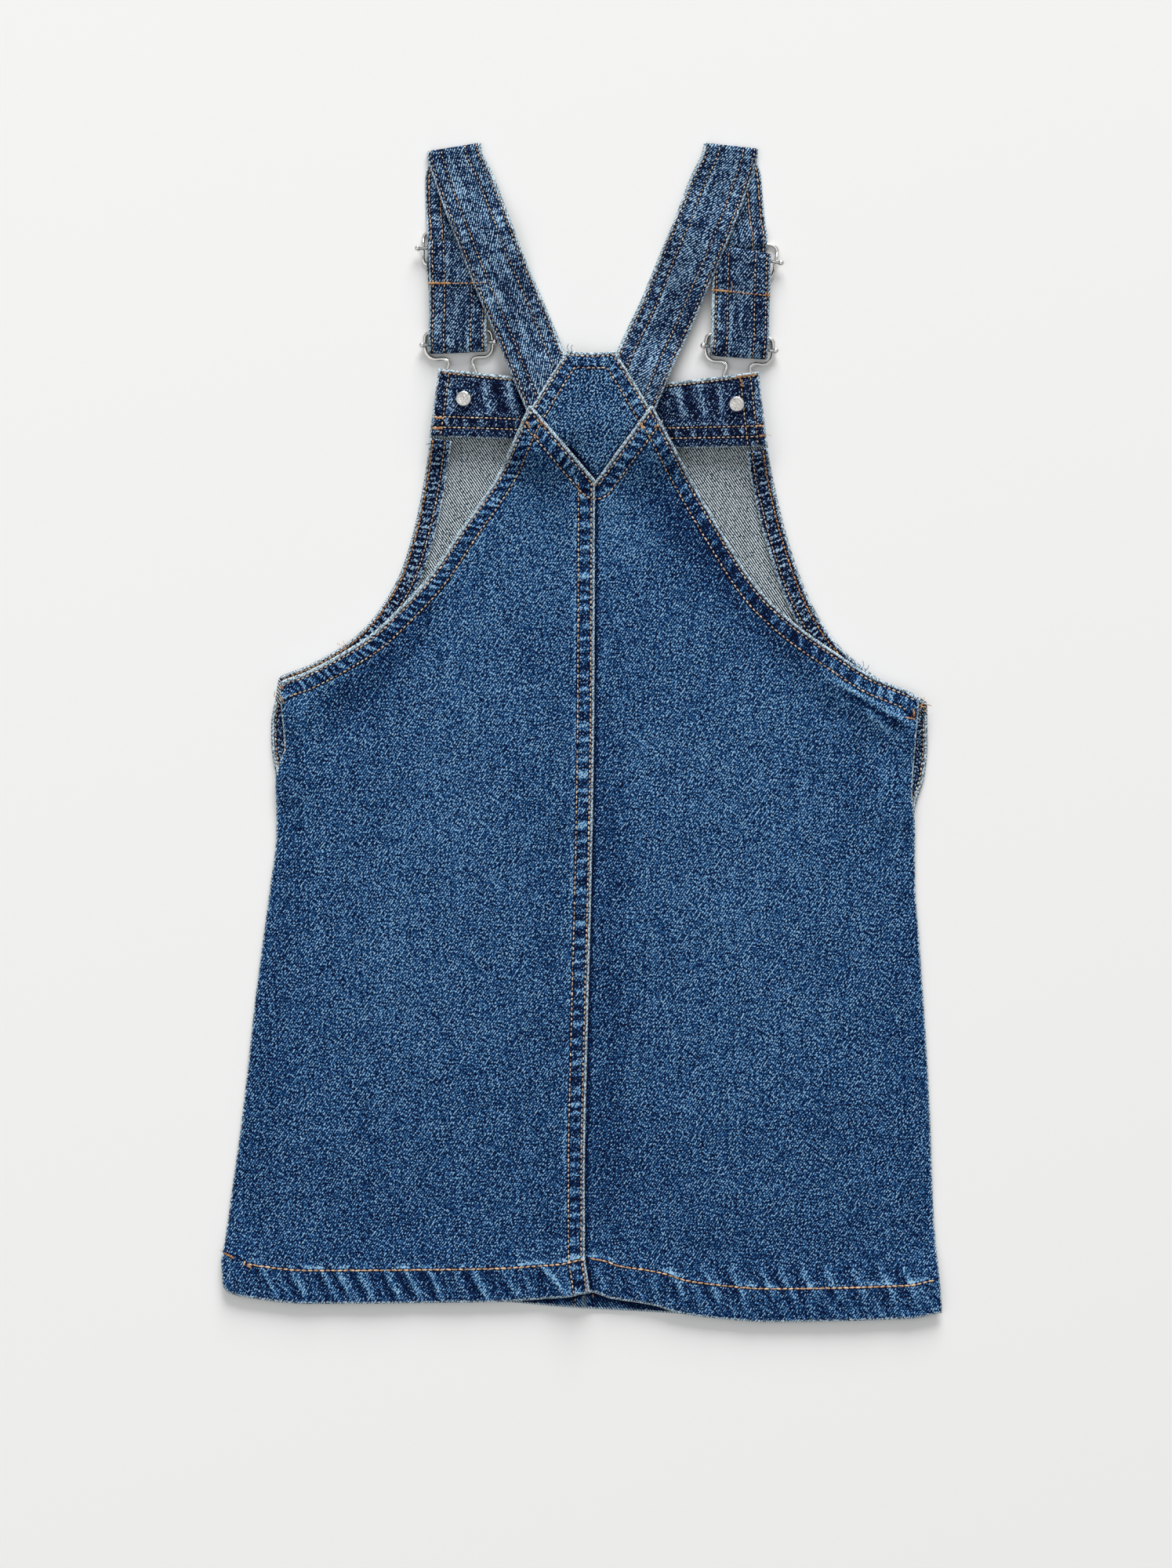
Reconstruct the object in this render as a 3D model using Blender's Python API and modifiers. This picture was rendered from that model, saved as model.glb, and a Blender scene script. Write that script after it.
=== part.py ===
"""A child's denim overall dress, laid out flat on its front with its back up.

The tables and sizes are in millimetres, and a mesh gets its points in metres. X runs from the wearer's
left to the right, Y from the hem to the shoulders, and Z up from the surface that the dress lies on. The
origin is on that surface, under the middle of the dress.

Each piece of cloth is an open sheet laid over the pile of the pieces below it, with a gap, and then
thickened upwards. The straps are ribbons that run from their sewn end, over the slider's bar, round the
buckle's pin, through the slider, up to the shoulder, and over it to the yoke.
"""

import math

import bmesh
import bpy
import numpy as np

MM = 0.001

# The cloth
WALL = 1.0                  # a single panel
HEM_WALL = 2.2              # a panel where its hem is turned up
HEM_DEPTH = 17.0
STRAP_WALL = 1.4            # two layers sewn flat
STRAP_WIDTH = 29.6
SEAM_LAP = 10.0             # how far one half of the back lies over the other
FACING_WIDTH = 11.0         # the strip along each front armhole
SLIT_WIDTH = 8.0            # the strip along each side slit
GAP = 0.3                   # left between any two pieces

# The pile that the cloth is laid over
PILE_CELL = 1.0
PILE_HALF_WIDTH = 220.0
PILE_HALF_LENGTH = 340.0
EDGE_SHARE = 0.02           # how far past a triangle's edge a cell still counts as covered
TINY_AREA = 1e-9            # a triangle seen edge on covers nothing
MESH_SPACING = 13.0         # the widest step between a sheet's points where it lies on something narrow
SOFT_REACH = 9.0            # how far a single panel bridges what it lies on
STIFF_REACH = 12.0          # the same for a strap
BIB_REACH = 12.0            # the same for the bib, over its buttons

# The panels' grids
BACK_ACROSS = [0.0, 0.04, 0.15, 0.28, 0.42, 0.56, 0.7, 0.83, 0.93, 1.0]
FRONT_ACROSS = [0.0, 0.07, 0.2, 0.36, 0.52, 0.68, 0.84, 1.0]
HEM_STEP = 1.5              # from the turned-up hem's edge to the single cloth above it
HEM_REST = 16.0             # from there to the next row
BODY_STEP = 21.0
ARMHOLE_LOW = 14.0          # rows are close together from this far below the armhole's foot
ARMHOLE_HIGH = 38.0         # to this far above it
ARMHOLE_STEP = 6.5
CHEST_STEP = 11.0
NECK_STEP = 9.0
FACING_COLUMNS = 14
FACING_ROWS = [0.0, 0.33, 0.66, 1.0]
FACING_LOW_LEVEL = 147.5    # where the facing's ends meet the panel's sides
PATCH_COLUMNS = 8
STRIP_INSET = 0.4           # from the panel's edge to a strip's edge

# The hardware
SLIDER_WIRE = 0.9           # radii
BUCKLE_WIRE = 1.1
WIRE_RESOLUTION = 2
PIN_RADIUS = 0.9
BALL_RADIUS = 1.6
PIN_LENGTH = 37.0           # from ball to ball
SLIDER_BAR_LENGTH = 40.8
SLIDER_WIDTH = 35.2         # between the centres of its side wires
SLIDER_HEIGHT = 16.6        # between the centres of its two outer bars
SLIDER_CORNER = 3.0
SLIDER_SIDE = 2.6           # half the length of side that is bowed up
CORNER_STEPS = 3
BALL_STEPS = 4
PIN_SIDES = 10
BAR_REST = 1.6              # half the width of strap that lies flat on one of its outer bars
HEAD_RADIUS = 8.5
HEAD_HEIGHT = 2.8
HEAD_SLANT = 0.7            # the head's slanted rim
NECK_RADIUS = 2.2
BUTTON_SIDES = 20
RIVET_RADIUS = 4.0
RIVET_HEIGHT = 1.5
RIVET_DOME = [(0.0, 0.0), (0.55, 0.1), (0.88, 0.5), (1.0, 1.0)]   # share of the radius, drop
RIVET_SIDES = 16
RIVET_REACH = 1.0           # how much wider than the cap its seat is
MERGE_DISTANCE = 0.00001    # metres

# Heights of the middle of what is stacked in a strap's lower loop
LOW_RUN = GAP + STRAP_WALL / 2
OVER_FRAME = 2 * SLIDER_WIRE + 2 * GAP + STRAP_WALL / 2
TUCKED_AT_BAR = LOW_RUN + STRAP_WALL + GAP
BAR_HEIGHT = TUCKED_AT_BAR + STRAP_WALL / 2 + GAP + PIN_RADIUS
UPPER_AT_BAR = BAR_HEIGHT + PIN_RADIUS + GAP + STRAP_WALL / 2
TUCKED_OVER_FRAME = OVER_FRAME + STRAP_WALL + GAP
UPPER_OVER_FRAME = TUCKED_OVER_FRAME + STRAP_WALL + GAP
TUCKED_TIP = TUCKED_AT_BAR + 0.2
TUCKED_MIDDLE = TUCKED_OVER_FRAME - 0.6
TUCKED_DIP = TUCKED_OVER_FRAME + (TUCKED_AT_BAR - TUCKED_OVER_FRAME) * 0.6
UPPER_MIDDLE = UPPER_OVER_FRAME - 0.5
UPPER_TIP = UPPER_OVER_FRAME - 1.3
BUCKLE_LOW = GAP + BUCKLE_WIRE
BUCKLE_HIGH = HEAD_HEIGHT + GAP + BUCKLE_WIRE
OVER_BUCKLE = BUCKLE_LOW + BUCKLE_WIRE + GAP + STRAP_WALL / 2
PIN_HEIGHT = BUCKLE_LOW + BUCKLE_WIRE + GAP + PIN_RADIUS
UPPER_AT_PIN = PIN_HEIGHT + PIN_RADIUS + GAP + STRAP_WALL / 2
UPPER_NEAR_PIN = UPPER_AT_PIN - 0.2
RUN_NEAR_PIN = LOW_RUN + 0.2
RUN_NEAR_FRAME = LOW_RUN + 0.6
NECK_HEIGHT = BUCKLE_HIGH + BUCKLE_WIRE
FOLD_RADIUS = (STRAP_WALL + GAP) / 2 + 0.1

# Colours: red, green, blue
FACE_BLUE = (0.060, 0.125, 0.235)
FACING_BLUE = (0.040, 0.085, 0.165)
INSIDE_GREY = (0.270, 0.330, 0.360)
NICKEL = (0.780, 0.770, 0.750)

# Outlines. A side or a seam lists (y, x) from the hem up, and a hem or a top edge (x, y) from left to right.
BACK_LEFT_SIDE = [
    (-291.0, -182.9), (-278.0, -183.7), (-266.5, -182.1), (-239.0, -178.9), (-191.0, -172.6),
    (-132.0, -166.0), (-78.5, -158.9), (-50.5, -155.7), (-24.0, -156.1), (-15.3, -154.1),
    (-9.7, -151.4), (15.0, -153.3), (25.1, -153.7), (30.3, -141.3), (39.5, -123.7),
    (49.1, -108.5), (61.9, -94.5), (79.5, -78.1), (103.1, -62.1), (132.7, -42.1),
    (148.0, -34.9), (165.5, -26.9),
]
BACK_RIGHT_SIDE = [
    (-291.0, 183.5), (-278.0, 182.7), (-246.5, 179.5), (-186.5, 177.1), (-106.5, 172.1),
    (-76.5, 169.9), (-50.0, 169.9), (-31.7, 168.3), (-6.0, 169.9), (16.3, 171.5),
    (29.1, 146.7), (40.7, 129.1), (53.9, 110.3), (71.5, 91.5), (103.1, 70.7),
    (133.5, 53.1), (144.0, 47.4), (165.5, 35.9),
]
BACK_SEAM = [
    (-291.0, 4.3), (-285.0, 3.4), (-269.0, 1.5), (-226.5, 1.5), (-146.5, 3.1), (-66.5, 5.1),
    (13.5, 6.3), (127.5, 6.7),
]
V_TIP = (6.9, 127.9)
V_LEFT_TOP = (-25.7, 165.5)
V_RIGHT_TOP = (34.9, 165.5)
BACK_HEM = [
    (-182.9, -282.5), (-179.7, -285.7), (-171.0, -288.1), (-139.0, -291.3), (-49.0, -290.5),
    (-8.0, -287.7), (3.9, -285.3), (14.7, -288.5), (34.7, -291.7), (50.0, -296.1), (63.0, -298.1),
    (95.0, -300.6), (167.0, -298.9), (183.5, -295.7),
]
FRONT_LEFT_SIDE = [
    (-291.0, -181.9), (-266.5, -181.1), (-216.5, -174.7), (-162.5, -169.1), (-106.5, -161.9),
    (-50.5, -155.0), (-22.5, -156.1), (-6.0, -158.4), (4.0, -158.5), (18.0, -156.1),
    (27.5, -154.5), (33.5, -140.5), (43.5, -122.5), (53.5, -110.5), (63.5, -102.5),
    (83.5, -91.7), (117.5, -82.5), (149.5, -77.3), (181.0, -72.9),
]
FRONT_RIGHT_SIDE = [
    (-291.0, 182.2), (-266.5, 180.1), (-226.5, 177.7), (-146.5, 173.5), (-76.5, 168.9),
    (-50.0, 168.9), (-39.3, 169.9), (-21.7, 174.9), (-6.0, 176.3), (14.3, 176.1),
    (23.5, 157.5), (33.5, 142.7), (43.5, 131.5), (53.5, 123.9), (73.5, 113.5),
    (109.5, 102.0), (141.5, 95.3), (181.0, 90.0),
]
FRONT_SEAM = [(-291.0, 1.1), (181.0, 5.1)]
FRONT_HEM = [
    (-181.0, -283.5), (-137.0, -288.9), (-49.0, -290.1), (-7.0, -293.3), (36.0, -295.7),
    (95.0, -298.9), (143.0, -298.5), (181.0, -293.7),
]
BIB_TOP = [(-73.0, 184.7), (-35.0, 180.7), (5.0, 176.7), (42.0, 177.9), (90.0, 183.1)]
FACING_LOW = [(-77.0, 149.9), (-35.0, 148.7), (5.0, 146.3), (48.0, 144.3), (93.5, 145.1)]
PATCH_SIDES = [                # y, left x, right x
    (119.0, 5.0, 9.0), (152.7, -26.0, 37.8), (165.2, -25.3, 33.9), (180.0, -16.4, 25.4),
    (193.6, -7.7, 16.7),
]
PATCH_STEPS = [9.0, 9.0, 8.0, 8.0]      # between its rows, in each of the stretches above
BACK_ARMHOLES = {"left": 25.1, "right": 16.3}       # the levels of the armholes' feet
FRONT_ARMHOLES = {"left": 27.5, "right": 14.3}

# Levels that the lengthways rows of the panels lie on
HEM_LINE = -291.0
HEM_TOP = HEM_LINE + HEM_DEPTH
HEM_FADE = -200.0              # above this the rows are level
BIB_LINE = 181.0
BIB_FADE = 146.0               # below this the rows are level
BIB_FLAT = 126.0               # below this the front lies on the floor
BACK_TOP = 164.0

# Folds that stand up from the back: ends of the ridge, its height and half its width
RIDGES = [                     # x0, y0, x1, y1, height, half width
    (122.7, 30.0, 168.0, 1.0, 1.6, 7.0),
    (-15.0, -286.0, 48.0, -291.0, 2.4, 16.0),
    (-150.0, 2.0, -139.0, 10.0, 0.6, 9.0),
]

# Straps: name of the side, then (x, y, tilt in degrees) of the named places on the middle of the ribbon
STRAPS = {
    "left": {
        "shoulder": (-65.5, 296.7, 9.3),
        "slider": (-63.3, 246.3, 0.0),
        "run": (-64.5, 246.3, 0.0),
        "tip": (-63.0, 223.0, 0.0),
        "pin": (-62.9, 197.9, 2.6),
        "back": [(-58.3, 277.5, 17.0), (-49.3, 253.5, 21.0), (-34.1, 215.9, 22.0), (-26.5, 197.5, 22.0),
                 (-10.6, 158.0, 22.0)],
    },
    "right": {
        "shoulder": (75.9, 297.4, -6.3),
        "slider": (81.4, 242.4, -10.0),
        "run": (80.6, 242.6, -5.0),
        "tip": (80.9, 221.0, -6.0),
        "pin": (80.3, 195.5, -4.0),
        "back": [(69.4, 277.5, -17.0), (59.8, 253.5, -22.0), (43.9, 215.9, -22.9), (35.5, 197.5, -22.9),
                 (20.2, 161.0, -22.9)],
    },
}
SHOULDER_WIDTH = 28.0
NEAR_SHOULDER_WIDTH = 29.2
SQUEEZED = 28.8                # the main run where it threads the slider
RIBBON_COLUMNS = 4
FOLD_STEPS = 6
BACK_RUN_STEP = 10.0
SLIDER_FOLD = 2.9              # how far the ribbon's middle goes past the slider's bar
PIN_FOLD = 4.2                 # and past the buckle's pin
ABOVE_SLIDER = 9.0             # from the slider's upper bar to where the run lies flat again
SHOULDER_START = -5.0          # where the lower run ends and the upper one starts, from the fold
SHOULDER_RETURN = -3.0
TOP_BAR_RISE = 6.4             # the buckle's own top bar, above its pin

# A buckle's wire: x and y from its pin, and its height as a share of the way up to the button's neck
BUCKLE_PATH = [                # x, y, rise
    (0.0, TOP_BAR_RISE, 0.0), (-13.0, TOP_BAR_RISE, 0.0), (-16.4, 5.4, 0.0), (-17.2, 2.6, 0.0),
    (-17.2, -2.4, 0.0),
    (-16.0, -5.4, 0.0), (-13.2, -7.3, 0.0), (-8.6, -7.4, 0.06), (-6.6, -8.2, 0.12), (-6.0, -10.0, 0.3),
    (-7.2, -13.8, 0.62), (-7.6, -17.4, 0.85), (-6.6, -21.0, 1.0), (-4.6, -23.6, 1.0), (-4.1, -26.6, 1.0),
    (-4.1, -30.2, 1.0), (-2.8, -32.8, 1.0), (0.0, -33.8, 1.0),
]
BUTTONS = {"left": (-60.1, 169.3), "right": (78.7, 166.5)}
BUCKLE_LOOP = 29.0             # from the pin down to the middle of the button


def smooth(table, at):
    """Reads a value from a table along a smooth curve that never swings past its rows."""
    steps, values = np.array(table, dtype=float).T
    slopes = np.diff(values) / np.diff(steps)
    tangents = np.zeros(len(steps))
    tangents[0] = slopes[0]
    tangents[-1] = slopes[-1]
    turning = slopes[:-1] * slopes[1:] > 0
    harmonic = 2 * slopes[:-1] * slopes[1:] / np.where(turning, slopes[:-1] + slopes[1:], 1)
    tangents[1:-1] = np.where(turning, harmonic, 0)
    at = np.clip(at, steps[0], steps[-1])
    row = int(np.clip(np.searchsorted(steps, at) - 1, 0, len(steps) - 2))
    width = steps[row + 1] - steps[row]
    t = (at - steps[row]) / width
    start = (1 + 2 * t) * (1 - t) ** 2 * values[row] + t * (1 - t) ** 2 * width * tangents[row]
    end = t * t * (3 - 2 * t) * values[row + 1] + t * t * (t - 1) * width * tangents[row + 1]
    return float(start + end)


def between(start, end, share):
    """A value part of the way from start to end."""
    return start + (end - start) * share


def spaced(start, end, step):
    """Evenly spaced values from start to end, about a step apart, without the last."""
    count = max(1, round((end - start) / step))
    return [between(start, end, i / count) for i in range(count)]


class Pile:
    """The top of everything that is laid down so far, as heights on a square grid."""

    def __init__(self):
        self.columns = round(2 * PILE_HALF_WIDTH / PILE_CELL) + 1
        self.rows = round(2 * PILE_HALF_LENGTH / PILE_CELL) + 1
        self.top = np.zeros((self.rows, self.columns))

    def add(self, piece):
        """Raises the pile to the top of a piece."""
        seen = piece.evaluated_get(bpy.context.evaluated_depsgraph_get())
        mesh = seen.to_mesh()
        mesh.calc_loop_triangles()
        points = np.array([piece.matrix_world @ vertex.co for vertex in mesh.vertices]) / MM
        points[:, 0] = (points[:, 0] + PILE_HALF_WIDTH) / PILE_CELL
        points[:, 1] = (points[:, 1] + PILE_HALF_LENGTH) / PILE_CELL
        for triangle in mesh.loop_triangles:
            self.add_triangle(points[list(triangle.vertices)])
        seen.to_mesh_clear()

    def add_triangle(self, corners):
        """Raises the cells that one triangle covers."""
        low = np.floor(corners[:, :2].min(axis=0)).astype(int)
        high = np.ceil(corners[:, :2].max(axis=0)).astype(int)
        x, y = np.meshgrid(np.arange(low[0], high[0] + 1), np.arange(low[1], high[1] + 1))
        a, b, c = corners
        area = (b[0] - a[0]) * (c[1] - a[1]) - (b[1] - a[1]) * (c[0] - a[0])
        if abs(area) < TINY_AREA:
            return
        share_b = ((x - a[0]) * (c[1] - a[1]) - (y - a[1]) * (c[0] - a[0])) / area
        share_c = ((b[0] - a[0]) * (y - a[1]) - (b[1] - a[1]) * (x - a[0])) / area
        inside = np.minimum(share_b, share_c) >= -EDGE_SHARE
        inside &= share_b + share_c <= 1.0 + EDGE_SHARE
        heights = a[2] + share_b * (b[2] - a[2]) + share_c * (c[2] - a[2])
        cells = self.top[low[1]:high[1] + 1, low[0]:high[0] + 1]
        cells[inside] = np.maximum(cells[inside], heights[inside])

    def cover(self, reach):
        """The heights of a cloth that bridges the pile: never below it, and never bent sharply."""
        heights = self.top
        for combine, distance in ((np.max, reach + MESH_SPACING / 2), (np.mean, reach)):
            cells = round(distance / PILE_CELL)
            for axis in (0, 1):
                moved = [np.roll(heights, step, axis) for step in range(-cells, cells + 1)]
                heights = combine(moved, axis=0)
        return heights


def height_at(heights, x, y):
    """Reads a height between the cells of a grid."""
    column = (x + PILE_HALF_WIDTH) / PILE_CELL
    row = (y + PILE_HALF_LENGTH) / PILE_CELL
    c, r = int(column), int(row)
    low = between(heights[r, c], heights[r, c + 1], column - c)
    high = between(heights[r + 1, c], heights[r + 1, c + 1], column - c)
    return between(low, high, row - r)


def finish(piece, colour, roughness, metallic=0.0):
    """Puts a piece in the dress's collection and gives it a material of its own."""
    material = bpy.data.materials.new(piece.name)
    material.use_nodes = True
    shader = material.node_tree.nodes["Principled BSDF"]
    shader.inputs["Base Color"].default_value = (*colour, 1.0)
    shader.inputs["Roughness"].default_value = roughness
    shader.inputs["Metallic"].default_value = metallic
    piece.data.materials.append(material)
    DRESS.objects.link(piece)
    return piece


def sheet(name, points, wall, colour, thin_share=None):
    """Makes a wall from a grid of points, thickened upwards.

    points holds a list of (x, y, z) for each row. thin_share gives, for each row, the part of the wall that
    the row has; without it the wall is whole.
    """
    rows, columns = len(points), len(points[0])
    bm = bmesh.new()
    bmesh.ops.create_grid(bm, x_segments=columns - 1, y_segments=rows - 1, size=0.5)
    bm.verts.ensure_lookup_table()
    shares = []
    for vertex in bm.verts:
        column = round((vertex.co.x + 0.5) * (columns - 1))
        row = round((vertex.co.y + 0.5) * (rows - 1))
        vertex.co = [value * MM for value in points[row][column]]
        shares.append(thin_share[row] if thin_share else 1.0)
    mesh = bpy.data.meshes.new(name)
    bm.to_mesh(mesh)
    bm.free()
    piece = bpy.data.objects.new(name, mesh)
    solidify = piece.modifiers.new("Wall", "SOLIDIFY")
    solidify.thickness = wall * MM
    solidify.offset = 1.0
    if thin_share:
        group = piece.vertex_groups.new(name="wall")
        for index, share in enumerate(shares):
            group.add([index], share, "REPLACE")
        solidify.vertex_group = "wall"
    return finish(piece, colour, 0.9)


def lay(name, pile, place, across, along, reach, colour, lift=None, levels_thin=None):
    """Lays a panel over the pile: place(u, v) gives x and y, and lift(x, y) what it stands up by."""
    heights = pile.cover(reach)
    points = []
    for v in along:
        row = []
        for u in across:
            x, y = place(u, v)
            z = height_at(heights, x, y) + GAP
            row.append((x, y, z + (lift(x, y) if lift else 0.0)))
        points.append(row)
    wall = HEM_WALL if levels_thin else WALL
    piece = sheet(name, points, wall, colour, levels_thin)
    bpy.context.view_layer.update()
    return piece


def fold_lift(x, y):
    """How far the back stands up from what it lies on, at its few large folds."""
    lift = 0.0
    for x0, y0, x1, y1, height, half_width in RIDGES:
        length = math.hypot(x1 - x0, y1 - y0)
        along = ((x - x0) * (x1 - x0) + (y - y0) * (y1 - y0)) / length ** 2
        nearest = min(max(along, 0.0), 1.0)
        distance = math.hypot(x - between(x0, x1, nearest), y - between(y0, y1, nearest))
        lift += height * math.exp(-((distance / half_width) ** 2))
    return lift


def panel_levels(top, armhole):
    """The levels of a panel's rows, from its hem to its top, closer together round the armhole."""
    levels = spaced(HEM_LINE, HEM_TOP, HEM_DEPTH / 2)
    levels += [HEM_TOP, HEM_TOP + HEM_STEP]
    levels += spaced(HEM_TOP + HEM_STEP + HEM_REST, armhole - ARMHOLE_LOW, BODY_STEP)
    levels += spaced(armhole - ARMHOLE_LOW, armhole + ARMHOLE_HIGH, ARMHOLE_STEP)
    levels += spaced(armhole + ARMHOLE_HIGH, V_TIP[1], CHEST_STEP)
    levels += spaced(V_TIP[1], top, NECK_STEP)
    return levels + [top]


def hem_shares(levels):
    """The share of the hem's wall that each row has."""
    return [1.0 if level <= HEM_TOP else WALL / HEM_WALL for level in levels]


def hemmed(x, level, hem):
    """The y of a point on a level, where the hem's own curve bends the rows near it."""
    share = min(max((HEM_FADE - level) / (HEM_FADE - HEM_LINE), 0.0), 1.0)
    return level + (smooth(hem, x) - HEM_LINE) * share * share * (3 - 2 * share)


def topped(x, y):
    """The y of a point near the bib's top edge, which dips in the middle."""
    share = min(max((y - BIB_FADE) / (BIB_LINE - BIB_FADE), 0.0), 1.0)
    return y + (smooth(BIB_TOP, x) - BIB_LINE) * share


def back_inner_edge(y, v_top, lap):
    """The x of a back half's inner edge: the neckline's slant above the seam, the seam below."""
    if y >= V_TIP[1]:
        return between(V_TIP[0], v_top[0], (y - V_TIP[1]) / (v_top[1] - V_TIP[1]))
    near_tip = min((V_TIP[1] - y) / SEAM_LAP, 1.0)
    return smooth(BACK_SEAM, y) - lap * near_tip


def back_halves(pile):
    """The two halves of the back. The left one laps over the right one at the middle seam."""
    def right(u, level):
        left_x = back_inner_edge(level, V_RIGHT_TOP, SEAM_LAP)
        x = between(left_x, smooth(BACK_RIGHT_SIDE, level), u)
        return x, hemmed(x, level, BACK_HEM)

    def left(u, level):
        right_x = back_inner_edge(level, V_LEFT_TOP, 0.0)
        x = between(smooth(BACK_LEFT_SIDE, level), right_x, u)
        return x, hemmed(x, level, BACK_HEM)

    for side, place in (("right", right), ("left", left)):
        levels = panel_levels(BACK_TOP, BACK_ARMHOLES[side])
        shares = hem_shares(levels)
        half = lay(f"back_{side}", pile, place, BACK_ACROSS, levels, SOFT_REACH, FACE_BLUE, fold_lift, shares)
        pile.add(half)


def front_halves(pile):
    """The two halves of the front, face down, side by side at the middle seam."""
    def left(u, level):
        x = between(smooth(FRONT_LEFT_SIDE, level), smooth(FRONT_SEAM, level) - GAP / 2, u)
        return x, topped(x, hemmed(x, level, FRONT_HEM))

    def right(u, level):
        x = between(smooth(FRONT_SEAM, level) + GAP / 2, smooth(FRONT_RIGHT_SIDE, level), u)
        return x, topped(x, hemmed(x, level, FRONT_HEM))

    made = []
    for side, place in (("left", left), ("right", right)):
        levels = panel_levels(BIB_LINE, FRONT_ARMHOLES[side])
        made.append(front_half(f"front_{side}", pile, place, FRONT_ACROSS, levels))
    for half in made:
        pile.add(half)


def front_half(name, pile, place, across, levels):
    """One half of the front. It lies on the floor, but for the bib, which the buttons lift."""
    raised = Pile()
    raised.top = np.where(pile.top > 0, pile.top + GAP, 0.0)
    raised.top[: round((BIB_FLAT + PILE_HALF_LENGTH) / PILE_CELL)] = 0.0
    heights = raised.cover(BIB_REACH)
    points = [[(*place(u, v), height_at(heights, *place(u, v))) for u in across] for v in levels]
    return sheet(name, points, HEM_WALL, INSIDE_GREY, hem_shares(levels))


def bib_facing(pile):
    """The strip that backs the bib's top edge."""
    def place(u, v):
        level = between(FACING_LOW_LEVEL, BIB_LINE, v)
        x = between(smooth(FRONT_LEFT_SIDE, level), smooth(FRONT_RIGHT_SIDE, level), u)
        return x, between(smooth(FACING_LOW, x), smooth(BIB_TOP, x), v)

    across = [i / FACING_COLUMNS for i in range(FACING_COLUMNS + 1)]
    pile.add(lay("bib_facing", pile, place, across, FACING_ROWS, SOFT_REACH, FACING_BLUE))


def edge_strip(name, pile, side, low, high, width, inward, step):
    """A strip laid along the inside of a panel's edge, between two levels."""
    levels = spaced(low, high, step) + [high]
    edge = np.array([(smooth(side, level), level) for level in levels])
    along = np.gradient(edge, axis=0)
    along /= np.linalg.norm(along, axis=1)[:, None]
    turned = inward * np.stack([along[:, 1], -along[:, 0]], axis=1)

    def place(u, row):
        share = u if inward > 0 else 1 - u
        x, y = edge[row] + turned[row] * (STRIP_INSET + width * share)
        return x, y

    strip = lay(name, pile, place, [0.0, 1.0], range(len(levels)), SOFT_REACH, FACING_BLUE)
    pile.add(strip)


def front_strips(pile):
    """The facings along the front's armholes and its side slits."""
    edge_strip("armhole_facing_left", pile, FRONT_LEFT_SIDE, 27.7, 149.2, FACING_WIDTH, 1, 6.0)
    edge_strip("armhole_facing_right", pile, FRONT_RIGHT_SIDE, 14.6, 144.4, FACING_WIDTH, -1, 6.0)
    edge_strip("side_slit_left", pile, FRONT_LEFT_SIDE, -26.0, 15.0, SLIT_WIDTH, 1, 8.0)
    edge_strip("side_slit_right", pile, FRONT_RIGHT_SIDE, -40.0, 3.0, SLIT_WIDTH, -1, 8.0)


def back_patch(pile):
    """The patch over the crossing of the straps, tucked under the neckline's V."""
    rows = np.array(PATCH_SIDES)

    def place(u, level):
        left_x = np.interp(level, rows[:, 0], rows[:, 1])
        right_x = np.interp(level, rows[:, 0], rows[:, 2])
        return float(between(left_x, right_x, u)), level

    levels = [rows[-1, 0]]
    for low, high, step in zip(rows[:-1, 0], rows[1:, 0], PATCH_STEPS):
        levels += spaced(low, high, step)
    levels.sort()
    across = [i / PATCH_COLUMNS for i in range(PATCH_COLUMNS + 1)]
    pile.add(lay("back_patch", pile, place, across, levels, SOFT_REACH, FACE_BLUE))


def section(place, height, width=STRAP_WIDTH, shift=0.0):
    """One section of a ribbon: a row of points across it. shift moves it lengthways, square to its tilt."""
    x, y, tilt = place
    turn = math.radians(tilt)
    x -= shift * math.sin(turn)
    y += shift * math.cos(turn)
    offsets = [(i / RIBBON_COLUMNS - 0.5) * width for i in range(RIBBON_COLUMNS + 1)]
    return [(x + offset * math.cos(turn), y + offset * math.sin(turn), height) for offset in offsets]


def mixed(start, end, share):
    """A place part of the way between two places."""
    return tuple(between(a, b, share) for a, b in zip(start, end))


def fold(place, low, high, past, width, upwards):
    """The sections of a ribbon that turns over a bar or over itself, from its low run to its high one."""
    sections = []
    for step in range(1, FOLD_STEPS):
        angle = math.pi * step / FOLD_STEPS
        height = between(low, high, (1 - math.cos(angle)) / 2)
        sections.append(section(place, height, width, upwards * past * math.sin(angle)))
    return sections


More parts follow.
